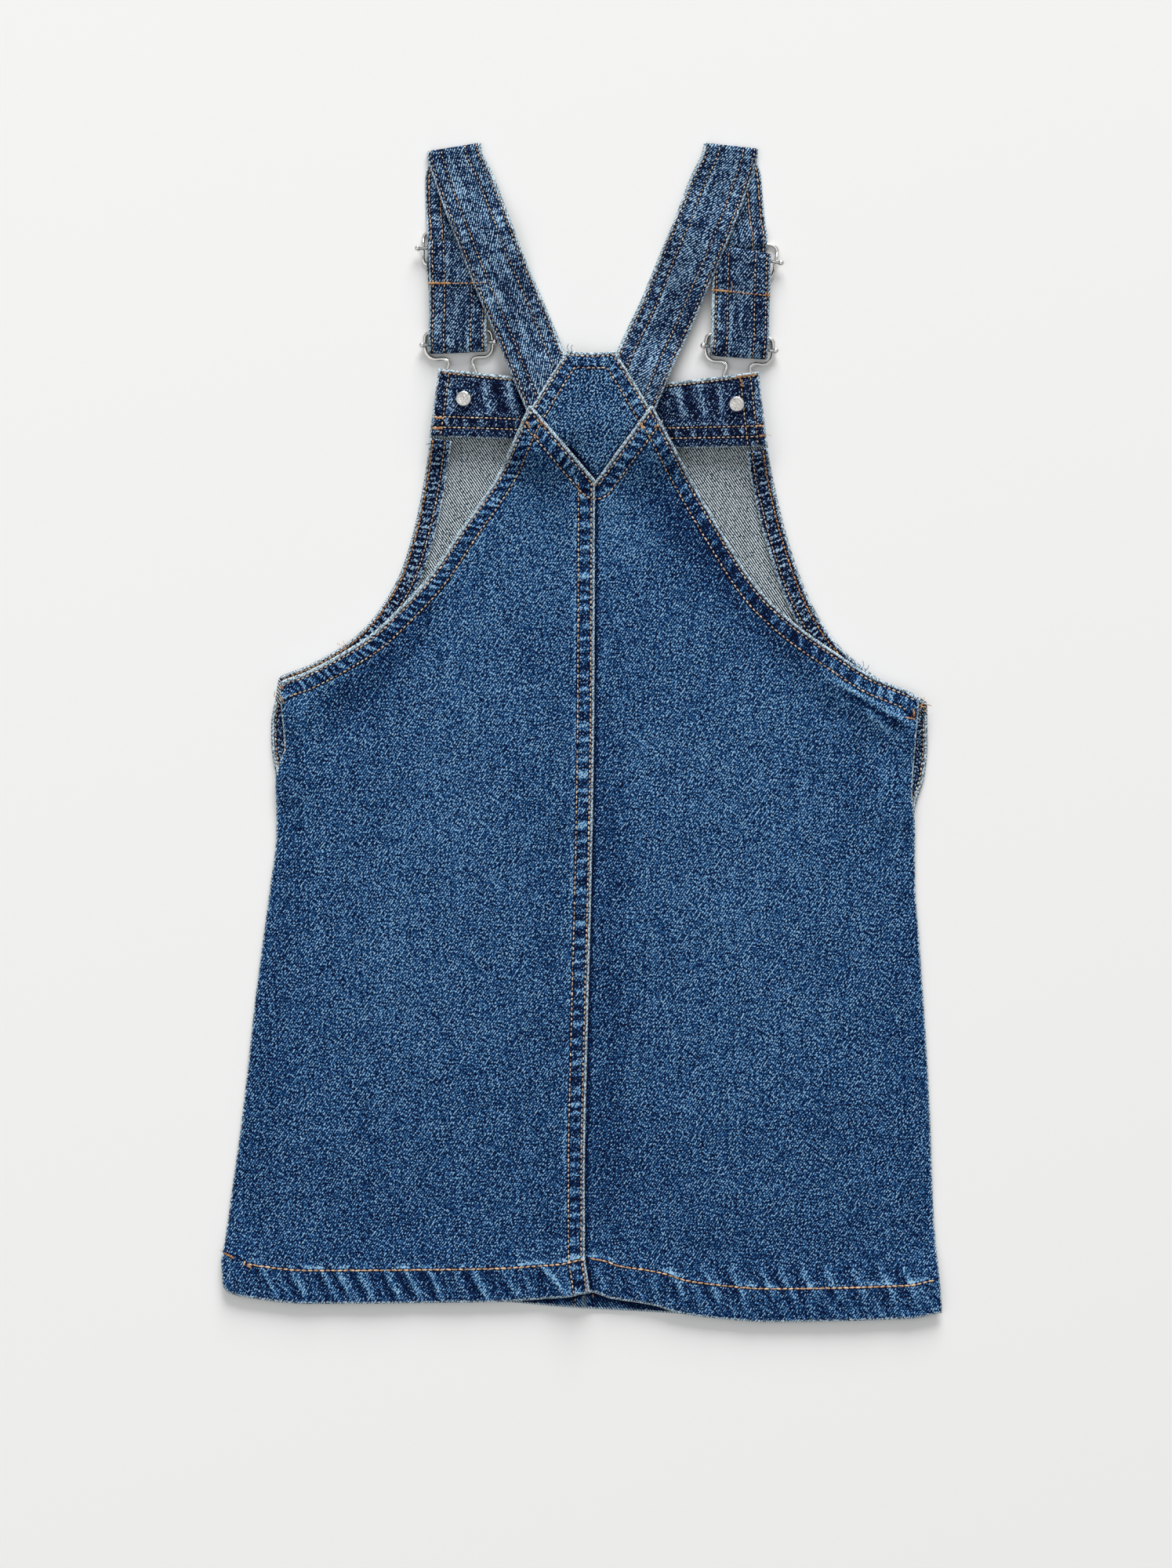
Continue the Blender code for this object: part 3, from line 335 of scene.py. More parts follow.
class Tree:
    """Adds nodes to a node tree and links them, so that a finish reads as sums."""

    def __init__(self, tree: NodeTree) -> None:
        """Takes the tree to add to."""
        self.tree = tree

    def feed(self, node: Node, values: dict[str | int, object]) -> Node:
        """Links a node's inputs, or sets them to a number, colour or vector; None leaves one as it is."""
        for key, value in values.items():
            if isinstance(value, NodeSocket):
                self.tree.links.new(value, node.inputs[key])
            elif value is not None:
                node.inputs[key].default_value = value
        return node

    def add(self, kind: str, values: dict[str | int, object] | None = None, **settings: object) -> Node:
        """A new node, with its settings and its inputs."""
        node = self.tree.nodes.new(kind)
        for name, value in settings.items():
            setattr(node, name, value)
        return self.feed(node, values or {})

    def sum(self, operation: str, *values: object, clamp: bool = False) -> NodeSocket:
        """The result of one Math node."""
        return self.add("ShaderNodeMath", dict(enumerate(values)), operation=operation,
                        use_clamp=clamp).outputs[0]

    def times(self, a: object, b: object) -> NodeSocket:
        """The product of two values."""
        return self.sum("MULTIPLY", a, b)

    def blend(self, a: object, b: object, c: object) -> NodeSocket:
        """The product of two values, and a third added."""
        return self.sum("MULTIPLY_ADD", a, b, c)

    def plus(self, a: object, b: object) -> NodeSocket:
        """Two values added."""
        return self.sum("ADD", a, b)

    def less(self, a: object, b: object) -> NodeSocket:
        """The second value taken from the first."""
        return self.sum("SUBTRACT", a, b)

    def step(self, value: object, low: object, high: object, to: Pair = (0.0, 1.0)) -> NodeSocket:
        """A soft step between two values, in either direction."""
        share = self.sum("DIVIDE", self.less(value, low), self.less(high, low), clamp=True)
        ends = {"Value": share, "To Min": to[0], "To Max": to[1]}
        return self.add("ShaderNodeMapRange", ends, interpolation_type="SMOOTHSTEP").outputs[0]

    def noise(self, vector: object, scale: float, detail: float = 2.0, rough: float = 0.5) -> NodeSocket:
        """A soft random value about 0.5."""
        values = {"Vector": vector, "Scale": scale, "Detail": detail, "Roughness": rough}
        return self.add("ShaderNodeTexNoise", values, noise_dimensions="3D").outputs[0]

    def vector(self, x: object, y: object, z: object) -> NodeSocket:
        """A vector from three values."""
        return self.add("ShaderNodeCombineXYZ", {0: x, 1: y, 2: z}).outputs[0]

    def parts(self, vector: object) -> NodeOutputs:
        """The three values of a vector."""
        return self.add("ShaderNodeSeparateXYZ", {0: vector}).outputs

    def attribute(self, name: str) -> NodeOutputs:
        """A named attribute of the piece."""
        return self.add("ShaderNodeAttribute", attribute_name=name).outputs

    def mix(self, share: object, a: object, b: object) -> NodeSocket:
        """A mix of two colours."""
        return self.add("ShaderNodeMix", {"Factor": share, "A": a, "B": b},
                        data_type="RGBA").outputs["Result"]

    def ramp(self, value: object, stops: Sequence[tuple[float, Place]]) -> NodeSocket:
        """A colour read from stops of (place, colour)."""
        node = self.add("ShaderNodeValToRGB", {0: value})
        ramp = node.color_ramp
        while len(ramp.elements) < len(stops):
            ramp.elements.new(0.5)
        for element, (place, colour) in zip(ramp.elements, stops):
            element.position = place
            element.color = (*colour, 1.0)
        return node.outputs[0]

    def bump(self, height: object, strength: float, distance: float) -> NodeSocket:
        """A normal roughened by a height; the distance is in metres."""
        return self.add("ShaderNodeBump",
                        {"Strength": strength, "Distance": distance, "Height": height}).outputs[0]

    def group(self, tree: NodeTree, values: dict[str, object]) -> NodeOutputs:
        """A placed group, with its inputs."""
        return self.add("ShaderNodeGroup", values, node_tree=tree).outputs


def new_finish(title: str) -> tuple[Material, Tree, Node]:
    """Starts a material: itself, its tree's builder and its shader."""
    material = bpy.data.materials.new(title)
    material.use_nodes = True
    return material, Tree(material.node_tree), material.node_tree.nodes["Principled BSDF"]


def linear(*colour: int) -> Place:
    """A colour given in the usual 0 to 255, as linear light."""
    shares = [part / 255 for part in colour]
    return tuple(part / 12.92 if part <= 0.04045 else ((part + 0.055) / 1.055) ** 2.4 for part in shares)


def paint(*colour: int) -> tuple[float, float, float, float]:
    """A colour given in the usual 0 to 255, as a socket takes it."""
    return (*linear(*colour), 1.0)


Group = tuple[Tree, NodeOutputs, Node]


def new_group(name: str, inputs: dict[str, float | None], outputs: Sequence[str]) -> Group:
    """Starts a shader node group.

    Args:
        name: the group's name.
        inputs: its inputs with their usual values; None makes a vector.
        outputs: its outputs, all of them plain values.

    Returns:
        The tree's builder, its inputs, and its output node.
    """
    group = bpy.data.node_groups.new(name, "ShaderNodeTree")
    for title, value in inputs.items():
        kind = "NodeSocketVector" if value is None else "NodeSocketFloat"
        socket = group.interface.new_socket(title, in_out="INPUT", socket_type=kind)
        if value is not None:
            socket.default_value = value
    for title in outputs:
        group.interface.new_socket(title, in_out="OUTPUT", socket_type="NodeSocketFloat")
    tree = Tree(group)
    return tree, tree.add("NodeGroupInput").outputs, tree.add("NodeGroupOutput")


class Side(Enum):
    """The two sides of the denim: how its twill leans, as the way across its lines."""

    FACE = -34.0
    WRONG = 34.0


@dataclass(frozen=True)
class Weave:
    """The twill itself, shared by every denim finish."""

    pitch: float = 1.1  # between its lines, in mm
    grain: float = 0.85  # how fine the grain along its lines is, and the grain across them
    cross_grain: float = 1.1
    patches: float = 0.17  # how fine its mottled patches are, its uneven yarns and its wavering
    yarns: float = 0.5
    wavering: float = 0.12

    @cache
    def group(self) -> NodeTree:
        """Builds the group: a place on the cloth gives how light its thread is there, and its height."""
        tree, given, out = new_group(
            "twill_weave",
            {"Cloth": None, "Lean": -0.593, "Lines": 0.5, "Speckle": 0.5, "Mottle": 0.5, "Slub": 0.3,
             "Waver": 9.0},
            ("Light", "Height"),
        )
        u, v, seed = tree.parts(given["Cloth"])
        cosine, sine = tree.sum("COSINE", given["Lean"]), tree.sum("SINE", given["Lean"])
        across = tree.plus(tree.times(u, cosine), tree.times(v, sine))
        along = tree.less(tree.times(v, cosine), tree.times(u, sine))
        plain, leaned = tree.vector(u, v, seed), tree.vector(across, along, seed)
        turns = tree.times(across, 2 * math.pi / self.pitch)
        line = tree.sum("SINE", tree.blend(tree.noise(plain, self.wavering, 1.0), given["Waver"], turns))
        grains = tree.plus(tree.noise(leaned, self.grain, 1.0), tree.noise(plain, self.cross_grain, 1.0))
        fine = tree.blend(grains, 0.7, -0.2)
        mottle = tree.noise(plain, self.patches, 2.0)
        slub = tree.noise(tree.vector(u, tree.times(v, 0.07), seed), self.yarns, 1.0)
        strength = tree.times(given["Lines"], tree.step(fine, 0.36, 0.64, (0.45, 1.4)))
        value = tree.blend(tree.times(line, 0.5), strength, 0.5)
        for part, amount, weight in ((fine, "Speckle", 2.8), (mottle, "Mottle", 1.0), (slub, "Slub", 1.0)):
            value = tree.blend(tree.times(tree.less(part, 0.5), weight), given[amount], value)
        tree.feed(out, {"Light": value, "Height": tree.blend(line, 0.35, fine)})
        return tree.tree


# How far a row of puckers sways along its seam, and how fast, in its mesh and in its colour
SWAY = 1.4
SWAY_RATE = 1.53


@dataclass(frozen=True)
class SewnEdge:
    """How a sewn edge wears, with painted shade in its grooves and pucker troughs, shared by every denim
    finish.
    """

    @cache
    def group(self) -> NodeTree:
        """Builds the group: a place by the edge gives how pale, how dark with painted shade, and how folded
        the cloth is.
        """
        tree, given, out = new_group(
            "sewn_edge_wear_and_shade",
            {"Edge": None, "Fold": 1.6, "Row A": 2.5, "Row B": 9.0, "Period": 5.6, "Slant": 0.0,
             "Pucker": 1.0, "Beyond": 0.5},
            ("Pale", "Dark", "Folded"),
        )
        distance, along, seed = tree.parts(given["Edge"])
        here = tree.vector(along, distance, seed)
        uneven = tree.less(tree.noise(here, 0.95, 3.0, 0.65), 0.5)
        leaned = tree.sum("DIVIDE", tree.blend(distance, given["Slant"], along), given["Period"])
        swing = tree.sum("SINE", tree.blend(tree.sum("DIVIDE", along, given["Period"]), SWAY_RATE, seed))
        wave = tree.sum("SINE", tree.blend(leaned, 2 * math.pi, tree.times(swing, SWAY)))
        chance = tree.noise(tree.vector(leaned, tree.times(distance, 0.09), seed), 1.5, 1.0)
        wave = tree.blend(tree.less(chance, 0.5), 3.2, wave)
        wave = tree.blend(uneven, 3.4, wave)
        last = tree.sum("MAXIMUM", given["Row A"], given["Row B"])
        inner = tree.sum("MINIMUM", given["Row A"], given["Row B"])
        band = tree.times(tree.step(distance, tree.plus(last, 0.9), tree.less(last, 0.3)),
                          tree.step(distance, tree.less(inner, 0.4), tree.plus(inner, 0.6)))
        band = tree.times(band, given["Pucker"])
        pale = tree.times(tree.step(wave, 0.4, 1.25), band)
        # painted shade in the troughs between the puckers
        dark = tree.times(tree.step(wave, 0.25, -0.8, (0.0, 0.65)), band)
        fold = tree.step(tree.blend(uneven, 3.4, distance), tree.plus(given["Fold"], 0.35),
                         tree.less(given["Fold"], 0.45))
        # painted shade in the groove that each row of stitches pulls in
        for row in ("Row A", "Row B"):
            near = tree.sum("ABSOLUTE", tree.less(distance, given[row]))
            dark = tree.sum("MAXIMUM", dark, tree.step(tree.blend(uneven, 1.3, near), 1.15, 0.4))
        past = tree.less(distance, last)
        ridge = tree.times(tree.step(past, 0.6, 1.2), tree.step(tree.blend(uneven, 4.0, past), 3.6, 1.4))
        ridge = tree.times(ridge, tree.step(tree.noise(here, 0.14, 1.0), 0.44, 0.6))
        pale = tree.sum("MAXIMUM", pale, tree.times(ridge, given["Beyond"]))
        tree.feed(out, {"Pale": pale, "Dark": dark, "Folded": fold})
        return tree.tree


@dataclass(frozen=True)
class Trim:
    """What is sewn along one edge of a piece, how it wears and where shade is painted on it. Lengths in mm.
    """

    rows: tuple[float, ...] = ()  # of stitches, from the edge
    fold: float = 1.6  # the worn width of the fold
    period: float = 5.6  # of the puckers
    slant: float = 0.0  # how far a pucker leans for each mm it is from the edge
    swell: float = 0.35  # how high the puckers stand
    pucker: float = 1.0  # how much they show in the colour
    beyond: float = 0.5  # how worn the ridge past the last row is
    layers: float = 0.7  # how much thicker the turned edge is
    seed: float = 0.0

    FAR = 90.0  # stands for a row that isn't there
    GROOVE = (0.42, 0.62)  # how deep a row of stitches pulls the cloth in, and how wide
    TAIL = 3.5  # how far past the last row the puckers die out

    @property
    def last(self) -> float:
        """How far the turned edge reaches."""
        return max(self.rows, default=0.0)

    @property
    def pair(self) -> Pair:
        """The two rows as the finish reads them."""
        if not self.rows:
            return (-self.FAR, -self.FAR)
        return (self.rows[0], self.rows[-1]) if len(self.rows) > 1 else (-self.FAR / 30, self.rows[0])

    def height(self, distance: Array, along: Array) -> Array:
        """How much higher than plain cloth the turned edge stands."""
        if not self.rows:
            return np.zeros(np.shape(distance))
        swing = np.sin(along / self.period * SWAY_RATE + self.seed)
        wave = np.sin((along + self.slant * distance) / self.period * 2 * math.pi + SWAY * swing)
        inside = eased(distance, self.last + 1.6, self.last - 0.2)
        lift = inside * self.layers
        low = self.rows[0] if len(self.rows) > 1 else 0.0
        lift = lift + self.swell * wave * inside * eased(distance, low - 0.5, low + 1.5)
        tail = np.exp(-np.maximum(distance - self.last, 0.0) / self.TAIL) * (1 - inside)
        past = eased(distance, self.last + 0.5, self.last + 2)
        lift = lift + 0.35 * self.swell * wave * tail + 0.35 * tail * past
        for row in self.rows:
            lift = lift - self.GROOVE[0] * np.exp(-(((distance - row) / self.GROOVE[1]) ** 2))
        return lift


# The colours of each kind of denim, from its darkest thread to its lightest, in the usual 0 to 255
FACE_STOPS: Stops = ((0.0, (0, 8, 40)), (0.15, (0, 25, 67)), (0.5, (21, 69, 119)), (0.85, (78, 133, 183)),
                     (1.0, (152, 190, 214)))
STRAP_STOPS: Stops = ((0.0, (2, 10, 38)), (0.15, (4, 26, 64)), (0.5, (31, 70, 112)), (0.85, (98, 140, 177)),
                      (1.0, (172, 198, 214)))
INSIDE_STOPS: Stops = ((0.0, (12, 24, 36)), (0.2, (40, 58, 72)), (0.5, (118, 135, 146)),
                       (0.8, (194, 208, 215)), (1.0, (226, 236, 240)))
FACING_STOPS: Stops = ((0.0, (0, 4, 28)), (0.2, (0, 16, 52)), (0.5, (20, 47, 90)), (0.8, (80, 114, 154)),
                       (1.0, (160, 190, 208)))


@dataclass(frozen=True)
class Denim:
    """The washed denim of one piece. Colours are in the usual 0 to 255."""

    title: str
    trims: tuple[Trim, ...] = ()
    side: Side = Side.FACE
    stops: Stops = FACE_STOPS
    pale: tuple[int, int, int] = (200, 219, 230)
    lines: float = 0.5
    speckle: float = 1.0
    mottle: float = 0.5
    slub: float = 0.3
    waver: float = 9.0
    base: float = 0.0
    turned_hem: bool = False  # the wrong side with its hem turned up to show the face

    SHADED = 84  # how much darker a worn fold's dark threads are than its pale ones
    PALER = 0.52  # how far worn puckers move the colour, and how far the painted shade of grooves and troughs does
    DARKER = -0.6
    HEM_FACE = (0.55, 0.19)  # how the turned hem's value is scaled and shifted
    HEM_STEP = (0.6, 0.2)  # how far past the turned hem its colour is gone, and still whole
    RELIEF = (0.55, 0.00025)  # the weave's bump: its strength, and its depth in metres
    UNPICKED = 0.62  # the share of a fold's wear that its darkest threads show

    def coloured(self, tree: Tree, woven: NodeOutputs) -> NodeSocket:
        """The colour at each place, from how light the thread is there, its tone, and how its sewn edges wear
        and are painted with shade.
        """
        # the tone holds uneven tone, worn pale creases, painted shade in sunken creases and painted shadows
        # along lines
        value = tree.plus(tree.plus(woven["Light"], self.base), tree.attribute("tone")["Fac"])
        folded: object = 0.0
        for number, trim in enumerate(self.trims):
            worn = tree.group(SewnEdge().group(), {
                "Edge": tree.attribute(f"edge_{number}")["Vector"], "Fold": trim.fold, "Row A": trim.pair[0],
                "Row B": trim.pair[1], "Period": trim.period, "Slant": trim.slant, "Pucker": trim.pucker,
                "Beyond": trim.beyond,
            })
            value = tree.blend(worn["Pale"], self.PALER, value)
            # the edge's Dark is painted shade in its grooves and pucker troughs
            value = tree.blend(worn["Dark"], self.DARKER, value)
            folded = tree.sum("MAXIMUM", folded, worn["Folded"])
        colour = tree.ramp(tree.sum("MULTIPLY", value, 1.0, clamp=True),
                           [(place, linear(*rgb)) for place, rgb in self.stops])
        if self.turned_hem:
            face = tree.ramp(tree.blend(value, *self.HEM_FACE),
                             [(place, linear(*rgb)) for place, rgb in FACE_STOPS])
            hem = tree.parts(tree.attribute("edge_0")["Vector"])[0]
            colour = tree.mix(tree.step(hem, HEM_DEPTH + self.HEM_STEP[0], HEM_DEPTH + self.HEM_STEP[1]),
                              colour, face)
        deep = paint(*(part - self.SHADED for part in self.pale))
        bleached = tree.mix(tree.step(woven["Light"], 0.2, 0.75), deep, paint(*self.pale))
        worn_through = tree.step(woven["Light"], 0.05, 0.5, (self.UNPICKED, 1.0))
        return tree.mix(tree.times(folded, worn_through), colour, bleached)

    def material(self) -> Material:
        """Builds the finish as a material."""
        material, tree, shader = new_finish(self.title)
        woven = tree.group(Weave().group(), {
            "Cloth": tree.attribute("cloth")["Vector"], "Lean": math.radians(self.side.value),
            "Lines": self.lines,
            "Speckle": self.speckle, "Mottle": self.mottle, "Slub": self.slub, "Waver": self.waver,
        })
        tree.feed(shader, {
            "Base Color": self.coloured(tree, woven), "Normal": tree.bump(woven["Height"], *self.RELIEF),
            "Roughness": 0.92, "Specular IOR Level": 0.12,
        })
        return material


@dataclass(frozen=True)
class Thread:
    """Sewing thread: a spun cord with painted highlights along the twist of its plies, lighter where it is
    rubbed.
    """

    title: str
    deep: tuple[int, int, int]
    light: tuple[int, int, int]

    PLIES = 900.0  # to the metre
    FUZZ = 420.0

    def material(self) -> Material:
        """The finish as a material, built once."""
        if self.title in bpy.data.materials:
            return bpy.data.materials[self.title]
        material, tree, shader = new_finish(self.title)
        place = tree.add("ShaderNodeTexCoord").outputs["Object"]
        ply = tree.add("ShaderNodeTexWave", {"Vector": place, "Scale": self.PLIES, "Distortion": 1.5},
                       wave_type="BANDS", bands_direction="DIAGONAL").outputs["Fac"]
        # the ply bands lighten the colour: a painted highlight along the twist
        share = tree.blend(ply, 0.35, tree.step(tree.noise(place, self.FUZZ, 2.0), 0.4, 0.62, (0.0, 0.65)))
        tree.feed(shader, {
            "Base Color": tree.mix(share, paint(*self.deep), paint(*self.light)),
            "Normal": tree.bump(ply, 0.4, 0.0002), "Roughness": 0.6, "Specular IOR Level": 0.3,
        })
        return material


@dataclass(frozen=True)
class Nickel:
    """Polished nickel plate: bright, with the faint scuff marks of handling in its roughness, and dull
    patches in its colour that are painted dark reflections.
    """

    title: str
    stipple: float = 0.0  # how deep the cap's pebbled finish is; with it, dark reflections are painted between the pebbles

    SCUFFS_AND_REFLECTIONS = 420.0  # to the metre
    PEBBLES = 1300.0
    DARK_REFLECTION = (120, 120, 122)
    BRIGHT = (236, 234, 231)

    def material(self) -> Material:
        """Builds the finish as a material."""
        material, tree, shader = new_finish(self.title)
        place = tree.add("ShaderNodeTexCoord").outputs["Object"]
        scuffs_and_reflections, pebbles = tree.noise(place, self.SCUFFS_AND_REFLECTIONS, 3.0, 0.6), tree.noise(place, self.PEBBLES, 1.0)
        # the dull patches are painted dark reflections: between the pebbles on the cap, in soft patches on
        # the wire
        bright = tree.step(pebbles, 0.2, 0.45) if self.stipple else tree.step(scuffs_and_reflections, 0.1, 0.4)
        tree.feed(shader, {
            "Base Color": tree.mix(bright, paint(*self.DARK_REFLECTION), paint(*self.BRIGHT)), "Metallic": 1.0,
            "Roughness": tree.step(scuffs_and_reflections, 0.3, 0.7, (0.14, 0.3)),
            "Normal": tree.bump(pebbles, 0.25 + self.stipple, 0.0001),
        })
        return material


def lining(name: str, lines: float = 0.8, speckle: float = 1.0) -> Denim:
    """The plain wrong side of a piece."""
    return Denim(f"{name}_wrong", (), Side.WRONG, stops=INSIDE_STOPS, lines=lines, speckle=speckle)


TAN = Thread("thread_tan", (158, 120, 86), (250, 230, 202))
HEM_THREAD = Thread("thread_hem", (134, 94, 62), (242, 208, 172))
ORANGE = Thread("thread_orange", (160, 98, 50), (230, 178, 120))
FRAY = Thread("thread_fray", (34, 52, 84), (150, 176, 198))

# --- Meshes


def placed(name: str, data: ID) -> Object:
    """A new object in the scene."""
    made = bpy.data.objects.new(name, data)
    bpy.context.scene.collection.objects.link(made)
    return made


def new_object(name: str, mesh: Mesh, nodes: Sequence[str] = ()) -> Object:
    """Puts a finished mesh in the scene as a piece of the dress.

    Args:
        name: the piece's name.
        mesh: its mesh, in metres.
        nodes: the model's solids that it stands for.

    Returns:
        The new object, riding on the dress's one body.
    """
    piece = placed(name, mesh)
    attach(piece, "root")
    if nodes:
        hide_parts(*nodes)
    mesh.calc_loop_triangles()
    LOG.info("%s: %d triangles", name, len(mesh.loop_triangles))
    return piece


def grid_mesh(name: str, top: Array, bottom: Array, fields: dict[str, Array]) -> Mesh:
    """A closed shell between two grids of points.

    Args:
        name: the mesh's name.
        top: its upper points (rows, columns, 3), in mm.
        bottom: its lower points, in the same order.
        fields: values (rows, columns, 3) or (rows, columns) that its finish reads, by name.

    Returns:
        The mesh, in metres. Its lower faces take its second material.
    """
    rows, columns = top.shape[:2]
    count = rows * columns
    index = np.arange(count).reshape(rows, columns)
    a, b, c, d = index[:-1, :-1], index[:-1, 1:], index[1:, 1:], index[1:, :-1]
    upper = np.stack([a, b, c, d], axis=-1).reshape(-1, 4)
    lower = upper[:, ::-1] + count
    ring = np.concatenate([index[0, :], index[1:, -1], index[-1, -2::-1], index[-2:0:-1, 0]])
    ahead = np.roll(ring, -1)
    rim = np.stack([ring, ring + count, ahead + count, ahead], axis=1)
    faces = np.concatenate([upper, lower, rim]).astype(np.int32)
    points = np.concatenate([top.reshape(-1, 3), bottom.reshape(-1, 3)]) * MM
    mesh = bpy.data.meshes.new(name)
    mesh.vertices.add(len(points))
    mesh.vertices.foreach_set("co", points.astype(np.float32).ravel())
    mesh.loops.add(faces.size)
    mesh.loops.foreach_set("vertex_index", faces.ravel())
    mesh.polygons.add(len(faces))
    mesh.polygons.foreach_set("loop_start", np.arange(0, faces.size, 4, dtype=np.int32))
    under = np.zeros(len(faces), np.int32)
    under[len(upper):len(upper) + len(lower)] = 1
    mesh.polygons.foreach_set("material_index", under)
    mesh.update(calc_edges=True)
    mesh.shade_smooth()
    for title, values in fields.items():
        above = values.reshape(count, -1)
        below = above * (-1, 1, 1) if title == "cloth" else above
        doubled = np.concatenate([above, below]).astype(np.float32)
        kind, part = ("FLOAT", "value") if doubled.shape[1] == 1 else ("FLOAT_VECTOR", "vector")
        mesh.attributes.new(title, kind, "POINT").data.foreach_set(part, doubled.ravel())
    return mesh


LEAST_WIDTH = 10.5  # mm, the least width that a sheet's measure is raised to; mm, the narrowest that a sheet may be declared


def declare_cloth(grid: Array) -> None:
    """Measures a sheet's width, length and area at its own middle surface, and keeps none of them.

    Args:
        grid: its middle surface (rows, columns, 3), in mm.
    """
    across, along = np.diff(grid, axis=1), np.diff(grid, axis=0)
    width = float(np.linalg.norm(across, axis=2).sum(1).max())
    length = float(np.linalg.norm(along, axis=2).sum(0).max())
    area = float(np.linalg.norm(np.cross(across[:-1], along[:, :-1]), axis=2).sum())
    width = max(width, LEAST_WIDTH)


EDGE_STEPS = (0.0, 0.22, 0.5, 0.9, 1.45)  # mm, the rows of points nearest to an edge


def spread(low: float, high: float, step: float, close_low: bool = True, close_high: bool = True) -> Array:
    """Places from low to high, a step apart, closer together at the ends that are edges."""
    near = np.array(EDGE_STEPS)
    start = near if close_low else near[:1]
    end = near if close_high else near[:1]
    inner_low, inner_high = low + start[-1], high - end[-1]
    count = max(1, round((inner_high - inner_low) / step))
    middle = np.linspace(inner_low, inner_high, count + 1)
    return np.concatenate([low + start[:-1], middle, (high - end[:-1])[::-1]])


@dataclass
class Crease:
    """One soft fold across a piece: a line, its height, its half width and how it shows in the colour, worn
    pale on a ridge and darkened with painted shade in a trough.
    """

    line: tuple[float, float, float, float]
    height: float
    half: float
    tone: float = 0.0
    shift: float = 0.0  # moves the colour sideways from the fold, worn paleness and painted shade alike

    def weight(self, x: Array, y: Array, shift: float = 0.0) -> Array:
        """How strongly each place feels the fold, from 0 to 1."""
        x0, y0, x1, y1 = self.line
        long = math.hypot(x1 - x0, y1 - y0)
        ux, uy = (x1 - x0) / long, (y1 - y0) / long
        along = ((x - x0) * ux + (y - y0) * uy) / long
        across = (y - y0) * ux - (x - x0) * uy - shift
        ends = eased(along, -0.12, 0.22) * eased(along, 1.12, 0.78)
        return ends * np.exp(-((across / self.half) ** 2))


def creases(*rows: tuple[float, ...]) -> tuple[Crease, ...]:
    """Creases from rows of numbers: the line's x, y, x and y, and then the rest in a crease's own order."""
    return tuple(Crease(row[:4], *row[4:]) for row in rows)


